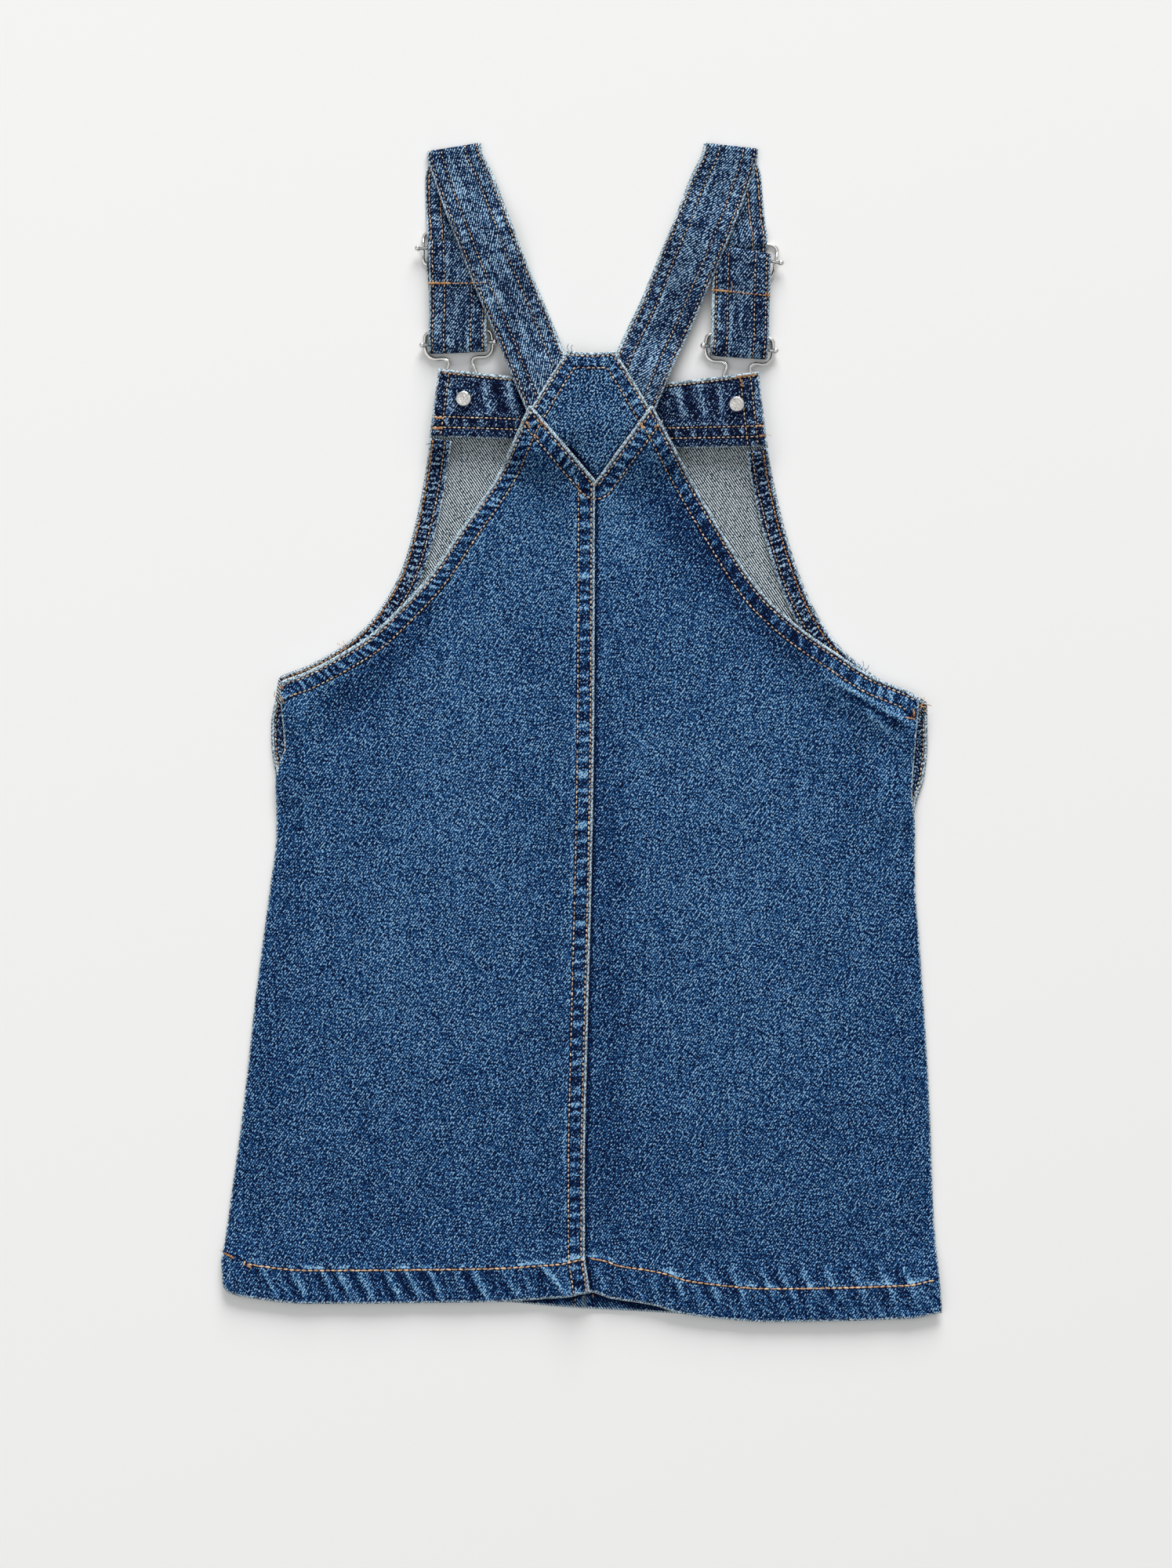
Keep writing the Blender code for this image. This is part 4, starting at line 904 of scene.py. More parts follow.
@dataclass
class Cloth:
    """A piece of cloth laid over the pile: its edges, its wall and its folds. Sizes in mm."""

    name: str  # "denim_" and then the model's solid that it stands for
    place: Placing
    across: Array
    along: Array
    edges: tuple[Path, ...]
    trims: tuple[Trim, ...]
    rounded: tuple[Path, ...]
    upper: Denim
    lower: Denim
    wall: float = 1.0
    reach: float = 8.0
    gap: float = 0.3
    creases: tuple[Crease, ...] = ()
    shades: tuple[Crease, ...] = ()
    ripple: float = 0.25
    seed: int = 1
    painted_shadows: tuple[tuple[Path, float, float], ...] = ()  # painted shadows, each a line, its half width, its tone
    lies_on: tuple[str, ...] = ()
    lapped: tuple[int, float] | None = None  # the edge that lies under a lap, and the lap's width
    base: Array = field(default=None, repr=False)

    ROUND = 0.85  # how wide the rounding of an edge is
    EDGE = 0.12  # the share of the thickness that is left at an edge
    THINNEST = 0.45
    HUMPS = (46.0, 17.0)  # about how far the soft humps of its rippling are apart
    APART = (23.7, 41.3)  # how far one seed moves the twill, so that no two pieces match

    def surface(self, x: Array, y: Array) -> tuple[Array, Array, list[tuple[Array, Array]]]:
        """The heights of the cloth's two sides.

        Args:
            x: places, in mm.
            y: places, in mm.

        Returns:
            The top, the bottom, and each sewn edge's distance and length along.
        """
        found = [edge.measure(x, y) for edge in self.edges]
        low = Pile.read(self.base, x, y) + self.gap
        coarse, fine = (wander(x, y, size, seed) for size,
                        seed in zip(self.HUMPS, (self.seed, self.seed + 9)))
        low = low + self.ripple * (0.6 + 0.6 * coarse + 0.25 * fine)
        for crease in self.creases:
            low = low + crease.height * crease.weight(x, y)
        low = np.maximum(low, 0.0)
        layers = sum((trim.height(distance, along) for trim, (distance, along) in zip(self.trims, found)),
                     np.zeros(np.shape(x)))
        if self.lapped:
            edge, lap = self.lapped
            layers = layers * eased(found[edge][0], lap - 1.0, lap + 3.0)
        thick = np.maximum(self.wall + layers, self.THINNEST)
        nearest = np.min([edge.measure(x, y)[0] for edge in self.rounded], axis=0)
        near = np.clip(nearest / self.ROUND, 0.0, 1.0)
        full = np.sqrt(np.clip(1 - (1 - near) ** 2, 0.0, 1.0))
        middle = low + thick / 2
        half = thick / 2 * np.maximum(full, self.EDGE)
        return middle + half, np.maximum(middle - half, 0.0), found

    def plan(self, pile: Pile) -> None:
        """Takes the heights of the pile that the piece will lie on."""
        self.base = pile.cover(self.reach)

    def build(self, pile: Pile) -> Object:
        """Lays the piece on the pile as it stands and dresses it."""
        self.plan(pile)
        return self.make(pile)

    def make(self, pile: Pile) -> Object:
        """Makes and dresses the piece, and adds it to the pile."""
        u, v = np.meshgrid(self.across, self.along)
        x, y = self.place(u, v)
        top, bottom, found = self.surface(x, y)
        cloth = stacked(x + self.APART[0] * self.seed, y + self.APART[1] * self.seed, 0.0)
        fields = {"cloth": cloth, "tone": self.tone(x, y)}
        for number, (trim, (distance, along)) in enumerate(zip(self.trims, found)):
            fields[f"edge_{number}"] = stacked(distance, along, trim.seed)
        upper = stacked(x, y, top)
        mesh = grid_mesh(self.name, upper, stacked(x, y, bottom), fields)
        mesh.materials.append(self.upper.material())
        mesh.materials.append(self.lower.material())
        pile.lay(upper)
        piece = new_object(self.name, mesh,
                           [self.name.removeprefix("denim_")])
        declare_cloth(stacked(x, y, (top + bottom) / 2))
        return piece

    def tone(self, x: Array, y: Array) -> Array:
        """How much paler or darker than usual the cloth is at each place, painted shade and shadows included.
        """
        total = 0.02 * wander(x, y, 60.0, self.seed + 3) + 0.015 * wander(x, y, 22.0, self.seed + 4)
        # creases paler where worn and darker with painted shade; and the broad shades
        for shade in (*self.creases, *self.shades):
            total = total + shade.tone * shade.weight(x, y, shade.shift)
        # painted shadows along lines
        for line, half, tone in self.painted_shadows:
            total = total + tone * np.exp(-((line.measure(x, y)[0] / half) ** 2))
        return total

    def on_top(self, path: Path, sink: float = 0.0) -> Array:
        """The points (x, y, z) of a line drawn on the cloth's upper side, in mm."""
        x, y = path.points.T
        top, _, _ = self.surface(x, y)
        return stacked(x, y, top - sink)


# --- Stitching

BEAD = {"Segments": 6, "Rings": 5, "Radius": 0.5}  # the plain round that each stitch is stretched from
FLATTENED = 0.9  # how much flatter than its width a stitch is


@cache
def stitch_tree() -> NodeTree:
    """Builds the tree once: lines with an upward direction become rows of stitches."""
    group = bpy.data.node_groups.new("stitches_along_lines", "GeometryNodeTree")
    kinds = {"Lines": "Geometry", "Pitch": "Float", "Length": "Float", "Thickness": "Float", "Turn": "Float",
             "Unevenness": "Float", "Seed": "Int", "Thread": "Material"}
    for title, kind in kinds.items():
        group.interface.new_socket(title, in_out="INPUT", socket_type=f"NodeSocket{kind}")
    group.interface.new_socket("Stitches", in_out="OUTPUT", socket_type="NodeSocketGeometry")
    tree = Tree(group)
    given = tree.add("NodeGroupInput").outputs
    uneven, thickness = given["Unevenness"], given["Thickness"]

    def chance(offset: float, low: object, high: object) -> NodeSocket:
        """A random value for each stitch."""
        values = {2: low, 3: high, "Seed": tree.plus(given["Seed"], offset)}
        return tree.add("FunctionNodeRandomValue", values, data_type="FLOAT").outputs[1]

    curves = tree.add("GeometryNodeMeshToCurve", {0: given["Lines"]})
    spaced = tree.add("GeometryNodeResampleCurve", {"Curve": curves.outputs[0], "Length": given["Pitch"]},
                      mode="LENGTH")
    less, more = tree.less(1.0, uneven), tree.plus(1.0, uneven)
    tangent = tree.add("GeometryNodeInputTangent").outputs[0]
    up = tree.add("GeometryNodeInputNamedAttribute", {"Name": "up"},
                  data_type="FLOAT_VECTOR").outputs["Attribute"]
    forward = tree.add("FunctionNodeAlignRotationToVector", {"Vector": tangent}, axis="X").outputs[0]
    upright = tree.add("FunctionNodeAlignRotationToVector", {"Rotation": forward, "Vector": up}, axis="Z",
                       pivot_axis="X").outputs[0]
    sway = chance(11.0, tree.times(uneven, -1.1), tree.times(uneven, 1.1))
    spin = tree.add("FunctionNodeAxisAngleToRotation",
                    {"Axis": (0.0, 0.0, 1.0), "Angle": tree.plus(given["Turn"], sway)}).outputs[0]
    turned = tree.add("FunctionNodeRotateRotation", {0: upright, 1: spin}, rotation_space="LOCAL").outputs[0]
    bead = tree.add("GeometryNodeMeshUVSphere", BEAD).outputs["Mesh"]
    size = tree.vector(tree.times(given["Length"], chance(1.0, less, more)),
                       tree.times(thickness, chance(2.0, less, more)), tree.times(thickness, FLATTENED))
    beads = tree.add("GeometryNodeInstanceOnPoints", {"Points": spaced.outputs[0], "Instance": bead,
                                                      "Rotation": turned, "Scale": size})
    real = tree.add("GeometryNodeRealizeInstances", {0: beads.outputs[0]})
    soft = tree.add("GeometryNodeSetShadeSmooth", {0: real.outputs[0]})
    dressed = tree.add("GeometryNodeSetMaterial", {"Geometry": soft.outputs[0], "Material": given["Thread"]})
    tree.add("NodeGroupOutput", {0: dressed.outputs[0]})
    return group


@dataclass(frozen=True)
class Stitching:
    """One kind of stitch, repeated along lines. Lengths in mm."""

    thread: Thread = TAN
    pitch: float = 2.6
    length: float = 1.95
    thick: float = 0.78
    turn: float = 0.0  # 90 lays each stitch across its line, as in a bar of tacking
    uneven: float = 0.14
    seed: int = 3

    def sew(self, name: str, lines: Sequence[Array]) -> Object:
        """Sews rows along lines.

        Args:
            name: the piece's name.
            lines: arrays (n, 6) of points and upward directions, in mm.

        Returns:
            The stitches, as one piece.
        """
        lines = [line for line in lines if len(line) > 1]
        points = np.concatenate(lines)
        ends = np.cumsum([len(line) for line in lines])
        links = [(i, i + 1) for i in range(len(points) - 1) if i + 1 not in set(ends.tolist())]
        mesh = bpy.data.meshes.new(f"{name}_lines")
        mesh.from_pydata((points[:, :3] * MM).tolist(), links, [])
        ups = mesh.attributes.new("up", "FLOAT_VECTOR", "POINT")
        ups.data.foreach_set("vector", points[:, 3:].astype(np.float32).ravel())
        guide = placed(f"{name}_guide", mesh)
        modifier = guide.modifiers.new("stitches", "NODES")
        modifier.node_group = stitch_tree()
        values = {"Pitch": self.pitch * MM, "Length": self.length * MM, "Thickness": self.thick * MM,
                  "Turn": math.radians(self.turn), "Unevenness": self.uneven, "Seed": self.seed,
                  "Thread": self.thread.material()}
        for item in stitch_tree().interface.items_tree:
            if item.in_out == "INPUT" and item.name in values:
                modifier[item.identifier] = values[item.name]
        bpy.context.view_layer.update()
        graph = bpy.context.evaluated_depsgraph_get()
        sewn = bpy.data.meshes.new_from_object(guide.evaluated_get(graph), depsgraph=graph)
        sewn.name = name
        guide.modifiers.clear()
        bpy.data.objects.remove(guide)
        bpy.data.meshes.remove(mesh)
        return new_object(name, sewn)


ROW = Stitching(thick=0.82, uneven=0.22)
HEM_ROW = Stitching(HEM_THREAD, pitch=3.1, length=3.2, thick=1.1, seed=4)
LONG_ROW = Stitching(HEM_THREAD, pitch=2.9, length=2.75, thick=0.72, seed=6)
BIB_ROW = Stitching(pitch=2.4, length=1.8, thick=0.72, seed=5)
STRAP_ROW = Stitching(pitch=2.5, length=1.6, thick=0.6, uneven=0.25, seed=7)
CHAIN = Stitching(ORANGE, pitch=2.3, length=2.05, thick=0.8, uneven=0.25, seed=9)
BAR_ROW = Stitching(ORANGE, pitch=2.1, length=2.0, thick=0.6, seed=13)
TACK = Stitching(ORANGE, pitch=0.45, length=1.25, thick=0.42, turn=90.0, uneven=0.3, seed=11)


def runs(keep: Array) -> list[slice]:
    """The unbroken stretches of a row of yes and no."""
    marks = np.flatnonzero(np.diff(np.concatenate([[0], keep.astype(int), [0]])))
    return [slice(a, b) for a, b in zip(marks[::2], marks[1::2]) if b - a > 2]


def seam_lines(cloth: Cloth, path: Path, clear: float = 1.3, sink: float = -0.12) -> list[Array]:
    """The stretches of a stitch line on a cloth that keep clear of its edges.

    Args:
        cloth: the piece to sew on.
        path: where the line runs.
        clear: how near to an edge it may come.
        sink: how far below the cloth's upper side the thread's middle lies.

    Returns:
        Arrays (n, 6) of points and upward directions, in mm.
    """
    x, y = path.points.T
    nearest = np.min([edge.measure(x, y)[0] for edge in cloth.rounded], axis=0)
    points = cloth.on_top(path, sink)
    step = 0.8  # over which the slope is read
    slope_x = (cloth.surface(x + step, y)[0] - cloth.surface(x - step, y)[0]) / (2 * step)
    slope_y = (cloth.surface(x, y + step)[0] - cloth.surface(x, y - step)[0]) / (2 * step)
    whole = np.concatenate([points, unit(stacked(-slope_x, -slope_y, 1.0))], axis=1)
    return [whole[part] for part in runs(nearest > clear)]


def trim_lines(cloth: Cloth, number: int, start: float = 1.0, end: float = 1.0,
               clear: float = 1.3) -> list[Array]:
    """All the stitch rows along one sewn edge of a cloth."""
    lines: list[Array] = []
    for row in cloth.trims[number].rows:
        lines += seam_lines(cloth, cloth.edges[number].inward(row, start, end), min(clear, row - 0.3))
    return lines


# --- Wire and turned metal


def flowing(points: Sequence[Sequence[float]], step: float, closed: bool = False) -> Array:
    """A smooth line through points, sampled evenly.

    Args:
        points: places that it passes.
        step: between its samples.
        closed: whether it joins up.

    Returns:
        The samples.
    """
    def between(t: Array, a: Array, b: Array, low: float, high: float) -> Array:
        """The way from a, at one knot, to b, at another."""
        return (high - t) / (high - low) * a + (t - low) / (high - low) * b

    p = np.array(points, float)
    if closed:
        p = np.concatenate([p[-1:], p, p[:2]])
    else:
        p = np.concatenate([2 * p[:1] - p[1:2], p, 2 * p[-1:] - p[-2:-1]])
    gaps = np.maximum(np.linalg.norm(np.diff(p[:, :3], axis=0), axis=1), 1e-6)
    knots = np.concatenate([[0.0], np.cumsum(gaps ** 0.5)])
    fine: list[Array] = []
    for i in range(1, len(p) - 2):
        t = np.linspace(knots[i], knots[i + 1], 13)[:-1, None]
        a, b, c = (between(t, p[k - 1], p[k], knots[k - 1], knots[k]) for k in (i, i + 1, i + 2))
        near, far = between(t, a, b, knots[i - 1], knots[i + 1]), between(t, b, c, knots[i], knots[i + 2])
        fine.append(between(t, near, far, knots[i], knots[i + 1]))
    line = np.concatenate(fine + [p[-2:-1]])
    lengths = run_of(line[:, :3])
    count = max(3, round(lengths[-1] / step))
    at = np.linspace(0, lengths[-1], count + 1)[:count if closed else count + 1]
    return np.stack([np.interp(at, lengths, column) for column in line.T], axis=1)


def ring_faces(count: int, sides: int, closed: bool) -> list[tuple[int, ...]]:
    """The four-cornered faces between rings of points, each ring joined to the next."""
    faces = []
    for i in range(count if closed else count - 1):
        near, far = i * sides, (i + 1) % count * sides
        faces += [(near + j, far + j, far + (j + 1) % sides, near + (j + 1) % sides) for j in range(sides)]
    return faces


def cap_faces(pole: int, base: int, sides: int, way: int) -> list[tuple[int, ...]]:
    """The pointed end between a pole and the ring that starts at base; its sides face up or down the line."""
    pairs = ((base + j, base + (j + 1) % sides) for j in range(sides))
    return [(pole, *pair[::way]) for pair in pairs]


@dataclass
class Solids:
    """Points and faces gathered for one mesh, in mm."""

    points: list[Array] = field(default_factory=list)
    faces: list[tuple[int, ...]] = field(default_factory=list)
    count: int = 0

    def add(self, points: Array, faces: Iterable[Sequence[int]]) -> None:
        """Adds a closed shape."""
        self.faces += [tuple(int(i) + self.count for i in face) for face in faces]
        self.points.append(np.asarray(points, float))
        self.count += len(points)

    def tube(self, line: Array, radius: float | Array, sides: int = 10, closed: bool = False) -> None:
        """Adds a round wire along a line, with rounded ends where it doesn't join up."""
        ahead = np.roll(line, -1, 0) - np.roll(line, 1, 0) if closed else np.gradient(line, axis=0)
        ahead = unit(ahead)
        normal = np.zeros_like(ahead)
        start = np.array([0.0, 0.0, 1.0]) if abs(ahead[0][2]) < 0.9 else np.array([1.0, 0.0, 0.0])
        for i, way in enumerate(ahead):
            start = start - way * (start @ way)
            start /= max(float(np.linalg.norm(start)), 1e-9)
            normal[i] = start
        side = np.cross(ahead, normal)
        angle = np.linspace(0, 2 * math.pi, sides, endpoint=False)
        width = np.broadcast_to(np.asarray(radius, float), (len(line),))[:, None, None]
        rings = line[:, None] + width * (np.cos(angle)[None, :, None] * normal[:, None]
                                         + np.sin(angle)[None, :, None] * side[:, None])
        count = len(line)
        faces = ring_faces(count, sides, closed)
        points = rings.reshape(-1, 3)
        if not closed:
            caps = np.stack([line[0] - ahead[0] * width[0, 0] * 0.6,
                             line[-1] + ahead[-1] * width[-1, 0] * 0.6])
            points = np.concatenate([points, caps])
            faces += cap_faces(len(points) - 2, 0, sides, 1)
            faces += cap_faces(len(points) - 1, (count - 1) * sides, sides, -1)
        self.add(points, faces)

    def turned(self, profile: Sequence[Pair], place: Array, axis: Array, sides: int,
               relief: Callable[[Array, Array], Array] | None = None) -> None:
        """Adds a turned shape.

        Args:
            profile: (radius, height) from its top, on the axis, round to its bottom, on the axis.
            place: the point at height 0.
            axis: its direction.
            sides: round it.
            relief: how much higher the surface stands at places (x, y) seen along the axis.
        """
        axis = axis / np.linalg.norm(axis)
        across = np.cross(axis, [0.0, 1.0, 0.0] if abs(axis[1]) < 0.9 else [1.0, 0.0, 0.0])
        across /= np.linalg.norm(across)
        third = np.cross(axis, across)
        angle = np.linspace(0, 2 * math.pi, sides, endpoint=False)
        rings = []
        for radius, height in profile[1:-1]:
            dx, dy = radius * np.cos(angle), radius * np.sin(angle)
            up = height + (relief(dx, dy) if relief else 0.0)
            rings.append(place + dx[:, None] * across + dy[:, None] * third + np.reshape(up, (-1, 1)) * axis)
        poles = np.stack([place + profile[0][1] * axis, place + profile[-1][1] * axis])
        points = np.concatenate(rings + [poles])
        self.add(points, cap_faces(len(points) - 2, 0, sides, 1) + ring_faces(len(rings), sides, False)
                 + cap_faces(len(points) - 1, (len(rings) - 1) * sides, sides, -1))

    def piece(self, name: str, material: Material, slot: str, nodes: Sequence[str] = ()) -> Object:
        """Makes the gathered shapes one piece."""
        mesh = bpy.data.meshes.new(name)
        mesh.from_pydata((np.concatenate(self.points) * MM).tolist(), [], self.faces)
        mesh.materials.append(material)
        mesh.shade_smooth()
        return new_object(name, mesh, nodes)


def turned_place(place: Place, x: float, y: float) -> Pair:
    """Moves a point of a fitting from its own frame to the dress's."""
    turn = math.radians(place[2])
    return (place[0] + x * math.cos(turn) - y * math.sin(turn),
            place[1] + x * math.sin(turn) + y * math.cos(turn))


# The heights and thicknesses of the metal that the straps turn round, in mm
SLIDER_WIRE = 0.9
BUCKLE_WIRE = 1.1
PIN_RADIUS = 0.9
BAR_HEIGHT = 4.6


@dataclass
class Fittings:
    """The metal of one strap: its slider, its buckle and the button that the buckle holds. Sizes in mm."""

    side: str
    slider: Place
    pin: Place
    button: Pair
    ball_radius: float = 1.6
    pin_length: float = 37.0
    bar_length: float = 40.8
    slider_width: float = 35.2
    slider_height: float = 16.6
    slider_corner: float = 3.0
    gap: float = 0.3
    head_radius: float = 8.5
    head_height: float = 2.8
    rivet_radius: float = 4.0
    bar_seat: float = 2.6  # half the stretch of the slider's wire that is bent for its bar
    pebbles: int = 80
    pebble: Pair = (0.16, 0.08)  # a pebble's height, and the square of its width

    BUCKLE_PATH = (
        (0, 6.4, 0), (-13, 6.4, 0), (-16.4, 5.4, 0), (-17.2, 2.6, 0), (-17.2, -2.4, 0),
        (-16, -5.4, 0), (-13.2, -7.3, 0), (-8.6, -7.4, 0.06), (-6.6, -8.2, 0.12), (-6, -10, 0.3),
        (-7.2, -13.8, 0.62), (-7.6, -17.4, 0.85), (-6.6, -21, 1), (-4.6, -23.6, 1), (-4.1, -26.6, 1),
        (-4.1, -30.2, 1), (-2.8, -32.8, 1), (0, -33.8, 1),
    )
    LOOP = 29.0

    def rod(self, place: Place, height: float, length: float) -> tuple[Solids, Array]:
        """A straight bar across a strap, with a ball at each end, and its middle line."""
        half = length / 2
        ends = np.array([[*turned_place(place, end * half, 0.0), height] for end in (-1, 1)])
        neck = math.asin(PIN_RADIUS / self.ball_radius)
        ball = [(self.ball_radius * math.sin(a), half + self.ball_radius * math.cos(a))
                for a in np.linspace(0.0, math.pi - neck, 9)]
        profile = ball + [(r, -z) for r, z in reversed(ball)]
        made = Solids()
        made.turned(profile, ends.mean(0), ends[1] - ends[0], 16)
        return made, np.linspace(ends[0], ends[1], 60)

    def slider_line(self) -> Array:
        """The middle of the slider's wire."""
        half_width, half_height, corner = self.slider_width / 2, self.slider_height / 2, self.slider_corner
        rise = BAR_HEIGHT - PIN_RADIUS - 2 * self.gap - 2 * SLIDER_WIRE
        points = []
        for across, along, start in ((1, 1, 0), (-1, 1, 90), (-1, -1, 180), (1, -1, 270)):
            for angle in np.radians(start + np.linspace(0, 90, 5)):
                points.append((across * (half_width - corner) + corner * math.cos(angle),
                               along * (half_height - corner) + corner * math.sin(angle), 0.0))
            if across * along < 0:
                points += [(across * half_width, along * self.bar_seat, rise),
                           (across * half_width, -along * self.bar_seat, rise)]
        low = self.gap / 2 + SLIDER_WIRE
        placed = [(*turned_place(self.slider, x, y), low + z) for x, y, z in points]
        return flowing(placed, 0.7, True)

    def buckle_line(self) -> Array:
        """The middle of the buckle's wire."""
        path = (*self.BUCKLE_PATH, *[(-x, y, rise) for x, y, rise in reversed(self.BUCKLE_PATH[1:-1])])
        low = self.gap + BUCKLE_WIRE
        high = self.head_height + self.gap + BUCKLE_WIRE
        straight = turned_place(self.pin, 0.0, -self.LOOP)
        placed = []
        for x, y, rise in path:
            slide = min(max(-y / self.LOOP, 0.0), 1.0)
            px, py = turned_place(self.pin, x, y)
            placed.append((px + (self.button[0] - straight[0]) * slide,
                           py + (self.button[1] - straight[1]) * slide, low + (high - low) * rise))
        return flowing(placed, 0.8, True)

    def build(self, pile: Pile, metal: Material) -> None:
        """Makes the fittings that lie under the cloth and puts them on the pile."""
        side = self.side
        for name, line, radius in ((f"slider_{side}", self.slider_line(), SLIDER_WIRE),
                                   (f"buckle_{side}", self.buckle_line(), BUCKLE_WIRE)):
            wire = Solids()
            wire.tube(line, radius, 12, True)
            wire.piece(f"wire_{name}", metal, "nickel", [name])
            pile.ball(line, radius)
        pin_height = self.gap + 2 * BUCKLE_WIRE + self.gap + PIN_RADIUS
        for name, place, height, length in ((f"slider_bar_{side}", self.slider, BAR_HEIGHT, self.bar_length),
                                            (f"buckle_pin_{side}", self.pin, pin_height, self.pin_length)):
            rod, line = self.rod(place, height, length)
            rod.piece(f"rod_{name}", metal, "nickel", [name])
            pile.ball(line, PIN_RADIUS)
        neck = self.head_height + self.gap + 2 * BUCKLE_WIRE
        r, h = self.head_radius, self.head_height
        profile = [(0.0, neck), (1.9, neck), (2.2, neck - 0.3), (2.2, h + 0.3), (2.5, h), (r - 0.8, h),
                   (r - 0.2, h - 0.25), (r, h - 0.8), (r, 0.8), (r - 0.2, 0.25), (r - 0.8, 0.0), (0.0, 0.0)]
        head = Solids()
        head.turned(profile, np.array([*self.button, 0.0]), np.array([0.0, 0.0, 1.0]), 40)
        head.piece(f"turned_button_{side}", metal, "nickel", [f"button_{side}"])
        for radius in np.arange(0.0, r, 0.6):
            angle = np.linspace(0, 2 * math.pi, 60)
            pile.drop(np.stack([self.button[0] + radius * np.cos(angle),
                                self.button[1] + radius * np.sin(angle),
                                np.full(60, neck if radius < 2.3 else h)], axis=1))

    def cap(self, pile: Pile, metal: Material) -> None:
        """Makes the button's cap, seated on the inside of the bib: a rolled rim round a pebbled middle."""
        x, y = self.button
        seat = float(Pile.read(pile.cover(self.rivet_radius + 1.0), x, y)) + self.gap
        dice = np.random.default_rng(21 if self.side == "left" else 22)
        spots = dice.uniform(-3.3, 3.3, (self.pebbles, 2))

        def pebbled(dx: Array, dy: Array) -> Array:
            """Small even bumps inside the rim."""
            apart = (dx[:, None] - spots[:, 0]) ** 2 + (dy[:, None] - spots[:, 1]) ** 2
            inside = eased(np.hypot(dx, dy), 3.2, 2.7)
            return self.pebble[0] * np.exp(-apart / self.pebble[1]).max(1) * inside

        radius = self.rivet_radius
        top = [(0.0, 1.3)] + [(r, 1.3 - 0.012 * r * r) for r in np.arange(0.25, 2.9, 0.22)]
        rim = [(2.95, 1.2), (3.15, 1.3), (3.4, 1.34), (3.65, 1.2), (3.85, 0.9), (radius, 0.5), (radius, 0.2),
               (radius - 0.2, 0.0), (0.0, 0.0)]
        cap = Solids()
        cap.turned(top + rim, np.array([x, y, seat]), np.array([0.0, 0.0, 1.0]), 48, pebbled)
        cap.piece(f"cap_rivet_{self.side}", metal, "nickel", [f"rivet_{self.side}"])


# --- Straps

Section = tuple[float, float, float, float, float]


